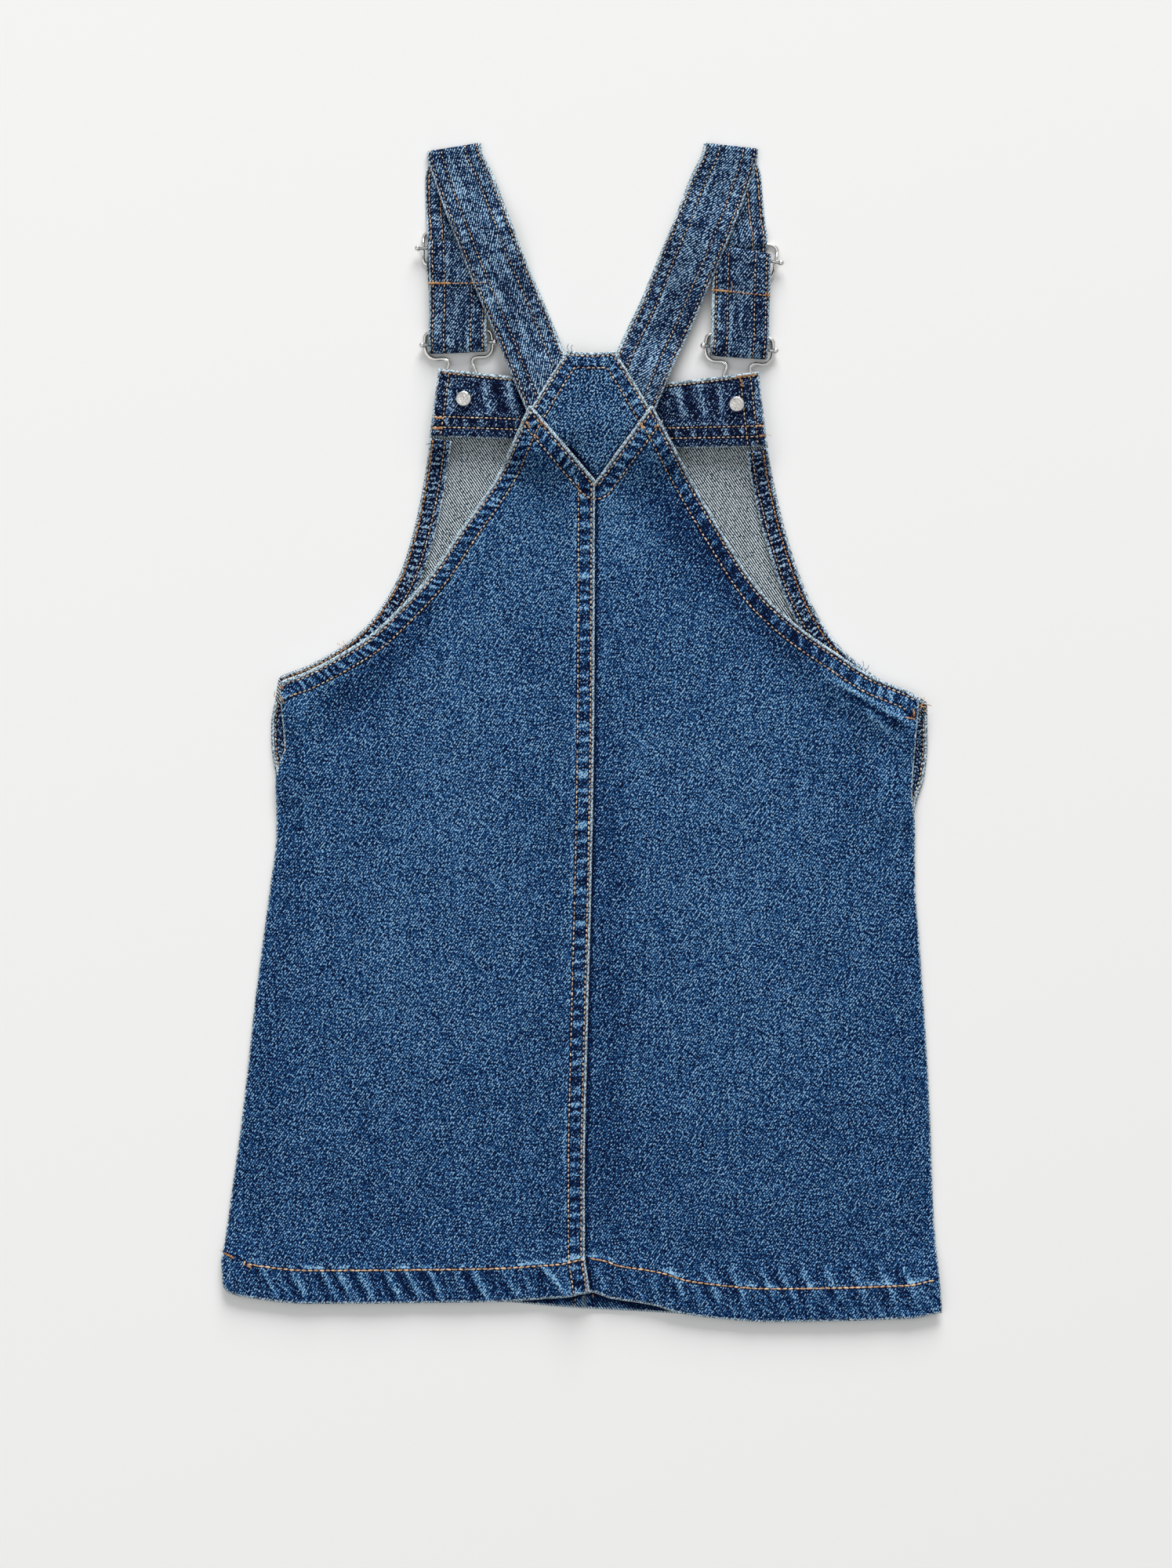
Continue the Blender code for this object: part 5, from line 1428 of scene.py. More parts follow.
@dataclass
class Strap:
    """One strap: a double ribbon from its tucked tip, round the slider's bar and the buckle's pin, over the
    shoulder and down the back to its hidden end. Sizes in mm.
    """

    side: str
    places: dict
    mirrored: bool = False
    width: float = 29.6
    wall: float = 1.4
    shoulder_width: float = 28.0
    gap: float = 0.3
    fittings_half: float = 8.3  # half the slider's height
    slider_fold: float = 2.9
    pin_fold: float = 4.2
    shoulder_fold: float = 0.95
    top_bar: float = 6.4
    step: float = 0.9
    squeeze: float = 0.8  # how much narrower it is inside the slider
    narrowed: float = 29.2  # its width just below the shoulder
    frame_edge: float = 1.6  # how far each side of the slider's wire its bend over the wire ends
    grid: Array = field(default=None, repr=False)
    under: Array = field(default=None, repr=False)
    up: Array = field(default=None, repr=False)
    lengths: Array = field(default=None, repr=False)
    offsets: Array = field(default=None, repr=False)

    RETURNED_END = 61.0  # how far along the ribbon its end is sewn across
    COLUMNS = 42
    WAVES = ((0.22, 23.0), (0.12, 7.3))  # how far its edges wave, and over what length
    ROUND = 0.8
    EDGE = 0.12  # the share of the thickness that is left at an edge
    LOWEST = 0.45  # of a stitch's middle, so that none goes under the surface
    TWILL = (90.0, 700.0)  # where on the cloth the straps are cut, across and along
    CORE = 20  # a column by the middle

    @property
    def trims(self) -> tuple[Trim, Trim]:
        """How the ribbon's two long edges are sewn."""
        outer = Trim((1.9, 7.6), fold=0.65, period=4.6, swell=0.12, layers=0.25, pucker=0.55, beyond=0.6,
                     seed=1)
        inner = Trim((2.4, 8.2), fold=1.5, period=5.1, swell=0.12, layers=0.25, pucker=0.6, beyond=0.6,
                     seed=4)
        return (inner, outer) if self.mirrored else (outer, inner)

    def section(self, place: Place, height: float, width: float | None = None, shift: float = 0.0) -> Section:
        """One section: the middle of the ribbon, its tilt and its width."""
        turn = math.radians(place[2])
        return (place[0] - shift * math.sin(turn), place[1] + shift * math.cos(turn), height, place[2],
                self.width if width is None else width)

    def sections(self, *rows: tuple) -> list[Section]:
        """Sections from rows of (place, height, width, shift), whose last two may be left out."""
        return [self.section(*row) for row in rows]

    def turn_over(self, place: Place, low: float, high: float, past: float, width: float,
                  way: int) -> list[Section]:
        """The sections where the ribbon turns over a bar."""
        return [self.section(place, low + (high - low) * (1 - math.cos(a)) / 2, width,
                             way * past * math.sin(a))
                for a in math.pi * np.arange(1, 8) / 8]

    def loop(self) -> list[Section]:
        """The sections from the tucked tip to the shoulder."""
        p, wall, gap = self.places, self.wall, self.gap
        low = gap + wall / 2
        over_frame = 2 * SLIDER_WIRE + 2 * gap + wall / 2
        tucked_bar = low + wall + gap
        upper_bar = BAR_HEIGHT + PIN_RADIUS + gap + wall / 2
        tucked_frame = over_frame + wall + gap
        upper_frame = tucked_frame + wall + gap
        buckle_low = gap + BUCKLE_WIRE
        over_buckle = buckle_low + BUCKLE_WIRE + gap + wall / 2
        upper_pin = buckle_low + BUCKLE_WIRE + gap + 2 * PIN_RADIUS + gap + wall / 2
        half, edge, squeezed = self.fittings_half, self.frame_edge, self.width - self.squeeze

        def mixed(a: Place, b: Place, share: float) -> Place:
            """A place part of the way between two."""
            return tuple(s + (e - s) * share for s, e in zip(a, b))

        slider, run, tip, pin, shoulder = (p[name] for name in ("slider", "run", "tip", "pin", "shoulder"))
        over_bar = mixed(slider, tip, half / (slider[1] - tip[1]))
        return [
            *self.sections(
                (tip, tucked_bar + 0.2), (mixed(tip, over_bar, 0.5), tucked_frame - 0.6),
                (over_bar, tucked_frame),
                (mixed(over_bar, slider, 0.55), tucked_frame + (tucked_bar - tucked_frame) * 0.6),
                (slider, tucked_bar),
            ),
            *self.turn_over(slider, tucked_bar, upper_bar, self.slider_fold, self.width, 1), *self.sections(
                (slider, upper_bar), (over_bar, upper_frame), (mixed(tip, over_bar, 0.5), upper_frame - 0.5),
                (tip, upper_frame - 1.3), (mixed(tip, pin, 0.45), upper_pin - 0.2),
                (pin, upper_pin, None, self.top_bar), (pin, upper_pin),
            ),
            *self.turn_over(pin, low, upper_pin, self.pin_fold, self.width, -1)[::-1], *self.sections(
                (pin, low), (pin, over_buckle, None, self.top_bar), (mixed(pin, tip, 0.55), low + 0.2),
                (tip, low), (mixed(tip, run, 0.4), low + 0.6), (run, over_frame, squeezed, -half - edge),
                (run, over_frame, squeezed, -half + edge), (run, low, squeezed),
                (run, over_frame, squeezed, half - edge), (run, over_frame, squeezed, half + edge),
                (mixed(run, shoulder, (half + 9.0) / (shoulder[1] - run[1])), low),
                (mixed(run, shoulder, 0.55), low), (mixed(run, shoulder, 0.8), low, self.narrowed),
                (shoulder, low, self.shoulder_width, -5.0),
            ),
        ]

    def back_run(self) -> list[Section]:
        """The sections from the shoulder's fold to the hidden end, still flat."""
        shoulder = self.places["shoulder"]
        low = self.gap + self.wall / 2
        high = low + 2 * self.shoulder_fold
        return [
            *self.turn_over(shoulder, low, high, self.shoulder_fold, self.shoulder_width, 1),
            self.section(shoulder, high, self.shoulder_width, -3.0),
            *self.sections(*((place, high + 2.0) for place in self.places["back"])),
        ]

    def spread(self, sections: Sequence[Section]) -> tuple[Array, Array]:
        """The ribbon's middle surface as a grid, and each row's length along.

        Args:
            sections: the ribbon's sections in order.

        Returns:
            The grid (rows, columns, 3) and the lengths.
        """
        line = flowing(sections, self.step)
        turn = np.radians(line[:, 3])
        along = run_of(line[:, :3])
        shares = np.linspace(0.5, -0.5, self.COLUMNS)
        near = np.sign(shares) * 0.5 * (1 - (1 - np.abs(shares) * 2) ** 1.12)
        offsets = near[None, :] * line[:, 4:5]
        (slow, long), (quick, short) = self.WAVES
        wavy = slow * np.sin(along / long + 2.0 * self.mirrored) + quick * np.sin(along / short)
        aside = offsets + wavy[:, None]
        grid = stacked(line[:, 0:1] + aside * np.cos(turn)[:, None],
                       line[:, 1:2] + aside * np.sin(turn)[:, None], line[:, 2:3])
        self.offsets = offsets
        return grid, along

    def guide(self, pile: Pile) -> None:
        """Puts the lower loop on the pile, so that the back's run lies over it."""
        grid, _ = self.spread(self.loop())
        grid[..., 2] += self.wall / 2
        pile.lay(grid)

    def build(self, pile: Pile, base: Array) -> Object:
        """Lays the whole strap and dresses it.

        Args:
            pile: where its surface is added.
            base: the heights that the back's run lies on.

        Returns:
            The strap.
        """
        loop = self.loop()
        length_of_loop = self.spread(loop)[1][-1]
        grid, along = self.spread(loop + self.back_run())
        past = eased(along - length_of_loop, 5.0, 16.0)[:, None]
        rest = Pile.read(base, grid[..., 0], grid[..., 1]) + self.gap + self.wall / 2
        grid[..., 2] = grid[..., 2] * (1 - past) + rest * past
        forward = np.gradient(grid, axis=0)
        across = np.gradient(grid, axis=1)
        up = unit(np.cross(across, forward))
        width = np.abs(self.offsets[:, :1]) * 2
        left, right = width / 2 + self.offsets, width / 2 - self.offsets
        length = np.repeat(along[:, None], grid.shape[1], 1)
        outer, inner = self.trims
        extra = outer.height(left, length) + inner.height(right, length + 3.0)
        nearest = np.minimum(left, right)
        ends = np.minimum(length, length.max() - length)
        round_off = np.clip(np.minimum(nearest, ends) / self.ROUND, 0.0, 1.0)
        full = np.maximum(np.sqrt(1 - (1 - round_off) ** 2), self.EDGE)
        cup = 0.18 * np.sin(length / 31.0) * (1 - (2 * self.offsets / width) ** 2)
        half = (self.wall - 0.2 + 0.55 * extra) / 2 * full
        top = grid + up * (half + cup)[..., None]
        bottom = grid - up * (half - cup)[..., None]
        self.grid, self.under, self.up, self.lengths = top, bottom, up, along
        cloth = stacked(self.TWILL[0] - self.offsets, length + self.TWILL[1] * self.mirrored, 0.0)
        worn = 0.05 + 0.05 * wander(self.offsets, length, 40.0, 31 + self.mirrored)
        tone = worn - 0.10 * eased(np.abs(length - self.RETURNED_END), 9.0, 0.0)
        tone = tone - 0.12 * eased(length, self.RETURNED_END + 24.0, self.RETURNED_END + 14.0)
        fields = {"cloth": cloth, "tone": tone, "edge_0": stacked(left, length, 1.0),
                  "edge_1": stacked(right, length, 4.0)}
        mesh = grid_mesh(f"denim_strap_{self.side}", top, bottom, fields)
        finish = Denim(f"denim_strap_{self.side}", self.trims, stops=STRAP_STOPS,
                       lines=1.0, speckle=1.2, mottle=1.5, slub=1.5, base=-0.19)
        mesh.materials.append(finish.material())
        mesh.materials.append(mesh.materials[0])
        pile.lay(top)
        strap = new_object(f"denim_strap_{self.side}", mesh, [f"strap_{self.side}"])
        declare_cloth(grid)
        return strap

    def rows(self, outside: bool) -> list[Array]:
        """The four rows along the ribbon: on its outside, or on its wrong side where that lies uppermost."""
        lines: list[Array] = []
        surface, way = (self.grid, 1.0) if outside else (self.under, -1.0)
        width = np.abs(self.offsets[:, :1]) * 2
        outer, inner = self.trims
        wanted = [-width / 2 + row for row in outer.rows] + [width / 2 - row for row in inner.rows]
        keep = (self.lengths > 2.0) & (self.lengths < self.lengths[-1] - 2.0)
        middle = self.grid[:, self.CORE, 1]
        keep &= outside | ((self.up[:, self.CORE, 2] < -0.5) & (middle > self.places["slider"][1]))
        for target in wanted:
            column = np.abs(self.offsets - target).argmin(1)
            order = np.argsort(self.offsets[0])
            line = np.empty((len(self.lengths), 6))
            for row in range(len(self.lengths)):
                across = self.offsets[row][order]
                for axis in range(3):
                    line[row, axis] = np.interp(target[row, 0], across, surface[row, order, axis])
                line[row, 3:] = way * self.up[row, column[row]]
            line[:, :3] += line[:, 3:] * 0.1
            line[:, 2] = np.maximum(line[:, 2], self.LOWEST)
            lines += [line[part] for part in runs(keep)]
        return lines

    def across(self, y: float, low: float, high: float, rising: float = 0.0) -> Array:
        """A line straight across the returned end.

        Args:
            y: its level at its left end.
            low: x of its left end.
            high: x of its right end.
            rising: how much it climbs to its right end.

        Returns:
            The line, as points and upward directions.
        """
        upper = self.up[..., 2] > 0.6
        region = self.grid[upper]
        normals = self.up[upper]
        x = np.linspace(low, high, 40)
        line = []
        for place, level in zip(x, y + rising * (x - low) / (high - low)):
            apart = (region[:, 0] - place) ** 2 + (region[:, 1] - level) ** 2
            best = apart.argsort()[:4]
            best = best[region[best, 2].argmax()]
            line.append([place, level, region[best, 2] + 0.2, *normals[best]])
        return np.array(line)


# --- Panels

def hemmed(hem: Table, x: Array, level: Array) -> Array:
    """The y of a point on a level, where the hem's own curve bends the rows near it."""
    share = np.clip((HEM_FADE - level) / (HEM_FADE - HEM_LINE), 0.0, 1.0)
    return level + (smooth(hem, x) - HEM_LINE) * share * share * (3 - 2 * share)


def topped(x: Array, y: Array) -> Array:
    """The y of a point near the bib's top edge, which dips in the middle."""
    return y + (smooth(BIB_TOP, x) - BIB_LINE) * np.clip((y - BIB_FADE) / (BIB_LINE - BIB_FADE), 0.0, 1.0)


def traced(place: Placing, u: Array | float, v: Array | float) -> Path:
    """The line that a placing makes of these values; one of the two may be a single number."""
    return Path(stacked(*place(*np.broadcast_arrays(u, v))))


@dataclass(frozen=True)
class Net:
    """A net of points between two sides: a fixed distance apart near each, and stretched between."""

    left: Callable[[Array], Array]
    right: Callable[[Array], Array]
    bend: Callable[[Array, Array], Array]
    span: float
    band: float = 15.0
    step: float = 1.6  # between the points of a line up it

    def place(self, u: Array, v: Array) -> tuple[Array, Array]:
        """Where a point of the net lies.

        Args:
            u: how far across it is, from 0 to span.
            v: its level.

        Returns:
            Its x and y.
        """
        low, high = self.left(v), self.right(v)
        width = high - low
        scale = np.minimum(1.0, width / (2 * self.band + 2.0))
        side = self.band * scale
        middle = (u - self.band) / (self.span - 2 * self.band) * (width - 2 * self.band * scale) + side
        from_right = width - (self.span - u) * scale
        x = np.where(u <= self.band, u * scale,
                     np.where(u >= self.span - self.band, from_right, middle)) + low
        return x, self.bend(x, v)

    def up(self, u: float, low: float, high: float) -> Path:
        """The line at one u between two levels."""
        v = np.linspace(low, high, max(2, round((high - low) / self.step) + 1))
        return traced(self.place, u, v)

    def sides(self, left: bool, foot: float, tip: float, top: float) -> list[Path]:
        """A half's long edges, each run so that the cloth is on its left.

        Args:
            left: which half.
            foot: the level of its armhole's foot.
            tip: the level where its middle seam ends.
            top: the level of its top.

        Returns:
            Its armhole, its side, its neckline and its middle seam.
        """
        outer, inner = (0.0, self.span) if left else (self.span, 0.0)
        lines = (self.up(outer, foot, top), self.up(outer, HEM_LINE, foot), self.up(inner, tip, top),
                 self.up(inner, HEM_LINE, tip))
        return [line.turned() if (number < 2) == left else line for number, line in enumerate(lines)]

    def across(self, v: float) -> Path:
        """The whole line at one level."""
        u = np.linspace(0.0, self.span, round(self.span / 2) + 1)
        return traced(self.place, u, v)


def panel_levels(top: float, foot: float, fine: float, body: float, clear: float = 16.0) -> Array:
    """The levels of a panel's rows, close together at its hem and round its armhole.

    Args:
        top: the level of its top.
        foot: the level of its armhole's foot.
        fine: between the rows round the armhole, in mm.
        body: between the rows of its plain part.
        clear: how far below the foot the fine rows begin.

    Returns:
        The levels, from the hem up.
    """
    sewn = HEM_LINE + HEM_DEPTH
    hem = spread(HEM_LINE, sewn - 2.0, 1.5, True, False)
    stitch = np.arange(sewn - 1.4, sewn + 3.0, 0.62)
    low = np.linspace(stitch[-1] + body * 0.7, foot - clear, round((foot - clear - stitch[-1]) / body))
    arm = spread(foot - clear, top, fine, False, True)
    return np.concatenate([hem, stitch, low, arm[1:]])


def panel_columns(span: float, middle: float, fine: float = 0.85, by_side: float = 13.0) -> Array:
    """The columns of a panel, close together by its two sides."""
    side = spread(0.0, by_side, fine, True, False)
    count = round((span - 2 * by_side) / middle)
    return np.concatenate([side, np.linspace(by_side, span - by_side, count + 1)[1:-1], span - side[::-1]])


ARM_LEFT = Trim((2.5, 9.0), fold=1.8, period=4.2, slant=0.45, swell=0.32, layers=0.75, seed=1)
ARM_RIGHT = Trim((2.5, 9.0), fold=1.35, period=6.6, slant=0.3, swell=0.34, layers=0.75, pucker=0.75,
                 beyond=0.3, seed=1)
NECK = Trim((2.6, 9.4), fold=1.55, period=5.4, slant=0.3, swell=0.3, layers=0.75, beyond=0.4, seed=2)
MIDDLE = Trim((1.9, 8.4), fold=1.1, period=6.4, slant=0.1, swell=0.28, layers=0.55, pucker=0.95, beyond=0.6,
              seed=3)
HEM = Trim((17.0,), fold=1, period=8.5, slant=0.45, swell=0.22, layers=1, pucker=0.3, beyond=1.3, seed=4)
PLAIN = Trim((), fold=0.55, seed=5)


@dataclass
class Back:
    """The back: two halves, the left lapped over the right, under a V neckline. Sizes in mm."""

    lap: float = 10.0
    span: float = 186.0
    pieces: dict[str, Cloth] = field(default_factory=dict)

    # folds paler where their ridges are worn; the sunken one by the hem's middle is darkened with painted
    # shade
    folds: tuple[Crease, ...] = creases(
        (-15, 152, 3.5, 131, 1.2, 4), (122.7, 30, 168, 1, 1.5, 5, 0.05, 1),
        (129, 25.5, 168, 3.4, 0.4, 1.1, 0.55), (-15, -286, 48, -291, 0.3, 15),
        (-150, 2, -139, 10, 0.6, 8, 0.05), (-20.5, -271, -6.8, -287.5, 0.9, 1.6, 0.85),
        (-24, -272, -10.5, -288, -0.4, 2.2, -0.35), (6.5, -272, 12, -285, 0.5, 1.6, 0.35),
        (3, -250, 8, -266, 0.5, 3.5, 0.12), (142, 14, 158, -2, 0.5, 1.4, 0.5),
    )
    # the first sinks at the right armhole's foot and is darkened with painted shade; the second is raised and
    # paler
    troughs: tuple[Crease, ...] = creases(
        (133, 20.5, 166, 1, -0.5, 2.6, -0.42), (-147, 12, -137, 11, 0.4, 4.5, 0.08),
    )
    # the hem's roping: a raised ridge worn pale, and beside it a sunken trough darkened with painted shade
    ropes: tuple[Crease, ...] = tuple(
        Crease((x - 4.5 + aside, -272, x + 5.0 + aside, -289), high, half, tone)
        for x in (-159, -145, -129, -121.5, -111, -97, -86.5, -75, -53, -37, 48, 65, 79, 94,
                  103.5, 115, 127, 141, 155, 167)
        for aside, high, half, tone in ((0, 0.45, 1.1, 0.62), (-3.4, -0.3, 2.4, -0.26))
    )
    # broad paler and darker patches: partly the cloth's uneven wash, partly painted light and shade of its
    # soft undulations; darker towards the hem
    shades: tuple[Crease, ...] = creases(
        (-80, -250, -70, 90, 0, 42, 0.045), (85, -250, 80, 60, 0, 45, 0.045),
        (-105, -270, -100, 40, 0, 17, -0.03), (13, -280, 15, 20, 0, 10, -0.11),
        (-190, -300, 190, -300, 0, 150, -0.075), (38, 122, 124, 36, 0, 15, -0.28),
        (-72, 70, -128, 8, 0, 10, -0.16), (-156, 4, -148, -30, 0, 10, -0.08),
        (-14, -50, -14, -130, 0, 14, -0.05), (-55, -165, -18, -195, 0, 13, -0.06),
        (-34, -150, 0, -166, 0, 10, -0.08), (-96, -50, -96, -190, 0, 11, 0.05),
        (28, 5, 30, -50, 0, 12, 0.05), (10, 122, 30, 84, 0, 12, 0.12),
        (158, -2, 158, -65, 0, 8, 0.07), (138, 2, 141, -50, 0, 9, -0.07),
        (-170, -270, -146, -10, 0, 9, -0.05), (172, -270, 160, -10, 0, 9, -0.045),
        (-120, 50, -40, 130, 0, 14, -0.03), (-20, 60, -20, 130, 0, 30, 0.05),
    )

    def inner_edge(self, side: str) -> Callable[[Array], Array]:
        """The x of one half's inner edge: the neckline's slant above the seam, and the seam below."""
        top = V_LEFT_TOP if side == "left" else V_RIGHT_TOP
        lap = 0.0 if side == "left" else self.lap

        def edge(level: Array) -> Array:
            """The inner edge at a level."""
            slant = V_TIP[0] + (top[0] - V_TIP[0]) * (level - V_TIP[1]) / (top[1] - V_TIP[1])
            near = np.clip((V_TIP[1] - level) / self.lap, 0.0, 1.0)
            return np.where(level >= V_TIP[1], slant, smooth(BACK_SEAM, level) - lap * near)

        return edge

    def half(self, side: str) -> Cloth:
        """The plan of one half."""
        left = side == "left"
        outer = BACK_LEFT_SIDE if left else BACK_RIGHT_SIDE
        sides = (partial(smooth, outer), self.inner_edge(side))
        foot = BACK_FEET[0] if left else BACK_FEET[1]
        net = Net(*(sides if left else sides[::-1]), partial(hemmed, BACK_HEM), self.span)
        arm, side_edge, neck, seam = net.sides(left, foot, V_TIP[1], BACK_TOP)
        hem, top = net.across(HEM_LINE), net.across(BACK_TOP)
        middle = MIDDLE if left else Trim((), fold=0.1, seed=6)
        trims = (ARM_LEFT if left else ARM_RIGHT, NECK, middle, HEM, PLAIN)
        edges = (arm, neck, seam, hem, side_edge)
        return Cloth(
            name=f"denim_back_{side}", place=net.place,
            across=panel_columns(self.span, 1.5), along=panel_levels(BACK_TOP, foot, 0.95, 4.5),
            edges=edges, trims=trims, rounded=(arm, neck, seam, hem, side_edge, top),
            upper=Denim(f"denim_back_{side}", trims, lines=0.6, speckle=1.22, mottle=0.5, base=-0.105),
            lower=lining(f"denim_back_{side}", 0.85, 0.7),
            creases=self.folds + self.troughs + self.ropes, shades=self.shades,
            # the right half has a painted shadow beside the lapped seam, where the left half laps over it
            ripple=0.3, seed=41 if left else 43, painted_shadows=() if left else ((self.seam_shadow(), 1.1, -0.5),),
            lies_on=("denim_back_patch", f"denim_front_{side}"), lapped=None if left else (2, self.lap),
        )

    def seam_shadow(self) -> Path:
        """The line of the painted shadow beside the lapped seam."""
        levels = np.linspace(-288.0, V_TIP[1], 160)
        x = smooth(BACK_SEAM, levels) + 0.7
        return Path(np.stack([x, hemmed(BACK_HEM, x, levels)], axis=1))

    def neck_row(self, row: float) -> list[Array]:
        """One stitch row down one slant of the neckline, round its tip and up the other."""
        tip = np.array(V_TIP)
        left, right = np.array(V_LEFT_TOP) - tip, np.array(V_RIGHT_TOP) - tip
        left_out = np.array([-left[1], left[0]]) / np.hypot(*left)
        right_out = np.array([right[1], -right[0]]) / np.hypot(*right)
        start, end = math.atan2(left_out[1], left_out[0]), math.atan2(right_out[1], right_out[0])
        turn = start % (2 * math.pi) + (end % (2 * math.pi) - start % (2 * math.pi)) * np.linspace(0, 1, 15)
        around = tip + row * np.stack([np.cos(turn), np.sin(turn)], axis=1)
        whole = Path(np.concatenate([[tip + left + left_out * row], around, [tip + right + right_out * row]]))
        points = whole.at(np.arange(3.0, whole.starts[-1] - 3.0, 0.8))
        on_left = points[:, 0] < smooth(BACK_SEAM, points[:, 1]) - 0.2
        lines: list[Array] = []
        for side, mine in (("left", on_left), ("right", ~on_left)):
            lines += seam_lines(self.pieces[side], Path(points[mine]), 0.25 if side == "left" else 0.0)
        return lines

    def build(self, pile: Pile) -> None:
        """Lays both halves and sews them."""
        for side in ("right", "left"):
            self.pieces[side] = self.half(side)
            self.pieces[side].build(pile)
        lines = [line for row in NECK.rows for line in self.neck_row(row)]
        hems: list[Array] = []
        for side, cloth in self.pieces.items():
            lines += trim_lines(cloth, 0, 3.0, 0.5)
            hems += trim_lines(cloth, 3, 2.0 if side == "left" else self.lap + 0.4, 2.0, 0.4)
        lines += trim_lines(self.pieces["left"], 2, 2.0, 2.0)
        ROW.sew("stitches_back", lines)
        HEM_ROW.sew("stitches_back_hem", hems)


@dataclass
class Front:
    """The front: two halves side by side, face down, with its bib, facings and side slits. Sizes in mm."""

    facing_width: float = 11.0
    bib: Pair = (172.0, 36.0)  # the bib facing's width and depth
    facing_low: float = 147.5  # the level of the bib facing's lower edge at the sides
    slit_width: float = 8.0
    inset: float = 0.4
    span: float = 183.0
    parting: float = 0.15  # how far each half's seam is from the middle line
    pieces: dict[str, Cloth] = field(default_factory=dict)

    # the facing's puckers: raised ones worn pale, sunken ones darkened with painted shade
    puckers: tuple[Crease, ...] = tuple(
        Crease((x, 180, x + lean, 158), high, 1.7, tone, 0.6)
        for x, lean, high, tone in (
            (-69, 1.5, 0.5, 0.5), (-50.5, 3.5, 0.45, 0.45), (-45, 5, -0.35, -0.35), (-38.5, 4, 0.5, 0.5),
            (-33, 5, -0.35, -0.35), (-28.5, 5, 0.4, 0.4), (46, 6, 0.5, 0.5), (52, 5, -0.35, -0.3),
            (58.5, 4, 0.5, 0.5), (65, 4, -0.3, -0.3), (69, 2, 0.4, 0.4), (88, 1.5, 0.45, 0.45),
        )
    )

    def half(self, side: str) -> Cloth:
        """The plan of one half."""
        left = side == "left"

        def inner(level: Array) -> Array:
            """The middle seam at a level."""
            return smooth(FRONT_SEAM, level) + (-self.parting if left else self.parting)

        def bend(x: Array, level: Array) -> Array:
            """The y of a point on a level, bent by the hem's curve and the bib's."""
            return topped(x, hemmed(FRONT_HEM, x, level))

        sides = (partial(smooth, FRONT_LEFT_SIDE if left else FRONT_RIGHT_SIDE), inner)
        foot = FRONT_FEET[0] if left else FRONT_FEET[1]
        net = Net(*(sides if left else sides[::-1]), bend, self.span)
        arm, side_edge, _, seam = net.sides(left, foot, BIB_LINE, BIB_LINE)
        hem, top = net.across(HEM_LINE), net.across(BIB_LINE).turned()
        trims = (Trim((17.0,), fold=0.9, period=15.5, slant=1.1, swell=0.4, layers=1, beyond=0.4, seed=8),
                 Trim((4.4,), fold=0.3, period=7.0, swell=0.15, layers=0.4, beyond=0.3, seed=9.0 + left))
        edges = (hem, seam)
        return Cloth(
            name=f"denim_front_{side}", place=net.place,
            across=panel_columns(self.span, 3.2, 1.6), along=panel_levels(BIB_LINE, foot, 1.7, 4.0),
            edges=edges, trims=trims, rounded=(arm, side_edge, seam, hem, top),
            upper=Denim(f"denim_front_{side}_wrong", trims, Side.WRONG, stops=INSIDE_STOPS, lines=2.2,
                        speckle=0.6, mottle=0.3, slub=0.6, waver=3.0, base=-0.14, turned_hem=True),
            lower=Denim(f"denim_front_{side}", trims),
            reach=12.0, gap=0.0, ripple=0.12, seed=51 if left else 53,
            # painted shade in the hollow between the top of the right side slit and the back's edge
            shades=creases((172, 19, 172, 7, 0, 4, -0.75)),
            # a painted shadow under the back's lifted hem
            painted_shadows=((self.under_lifted_hem(), 2.4, -1.3),), lies_on=(f"turned_button_{side}",),
        )

    def under_lifted_hem(self) -> Path:
        """Where the back's hem stands clear of the front's, so that hardly any light comes in."""
        x = np.linspace(-32.0, 48.0, 50)
        return Path(np.stack([x, smooth(BACK_HEM, x) - 0.6], axis=1))

    def strip(self, name: str, side: str, low: float, high: float, width: float, rows: tuple[float, ...],
              seed: int) -> Cloth:
        """The plan of a strip along the inside of an edge."""
        left = side == "left"
        table = FRONT_LEFT_SIDE if left else FRONT_RIGHT_SIDE
        edge = Path.up(table, low, high, 2.0)
        edge = edge.turned() if left else edge
        middle = edge.inward(self.inset + width / 2, 0.0, 0.0, 1.0)
        ways = np.gradient(middle.points, axis=0)
        ways /= np.hypot(*ways.T)[:, None]
        steps = middle.starts

        def place(u: Array, v: Array) -> tuple[Array, Array]:
            """A point at a distance u from the strip's outer edge, v along it."""
            x, y = (np.interp(v, steps, column) for column in middle.points.T)
            wx, wy = (np.interp(v, steps, column) for column in ways.T)
            inward = u - width / 2
            return x - wy * inward, y + wx * inward

        along = spread(0.0, steps[-1], 0.9)
        outer, inner = (traced(place, u, along) for u in (0.0, width))
        ends = [traced(place, np.linspace(0, width, 9), v) for v in (0.0, steps[-1])]
        pucker, fold = (1.25, 0.9) if "armhole" in name else (0.3, 1.3)
        trims = (Trim(rows, fold=fold, period=3.1, slant=0.1, swell=0.32, layers=0.3, pucker=pucker,
                      beyond=0.6, seed=float(seed)), Trim((), fold=0.8, seed=seed + 1.0))
        return Cloth(
            name=name, place=place, across=spread(0.0, width, 0.7), along=along,
            edges=(outer, inner), trims=trims, rounded=(outer, inner, *ends),
            upper=Denim(f"{name}_face", trims, stops=FACING_STOPS, lines=0.5, speckle=1.6, mottle=0.6,
                        base=-0.12),
            lower=lining(name), ripple=0.2, seed=seed, lies_on=(f"denim_front_{side}",),
        )

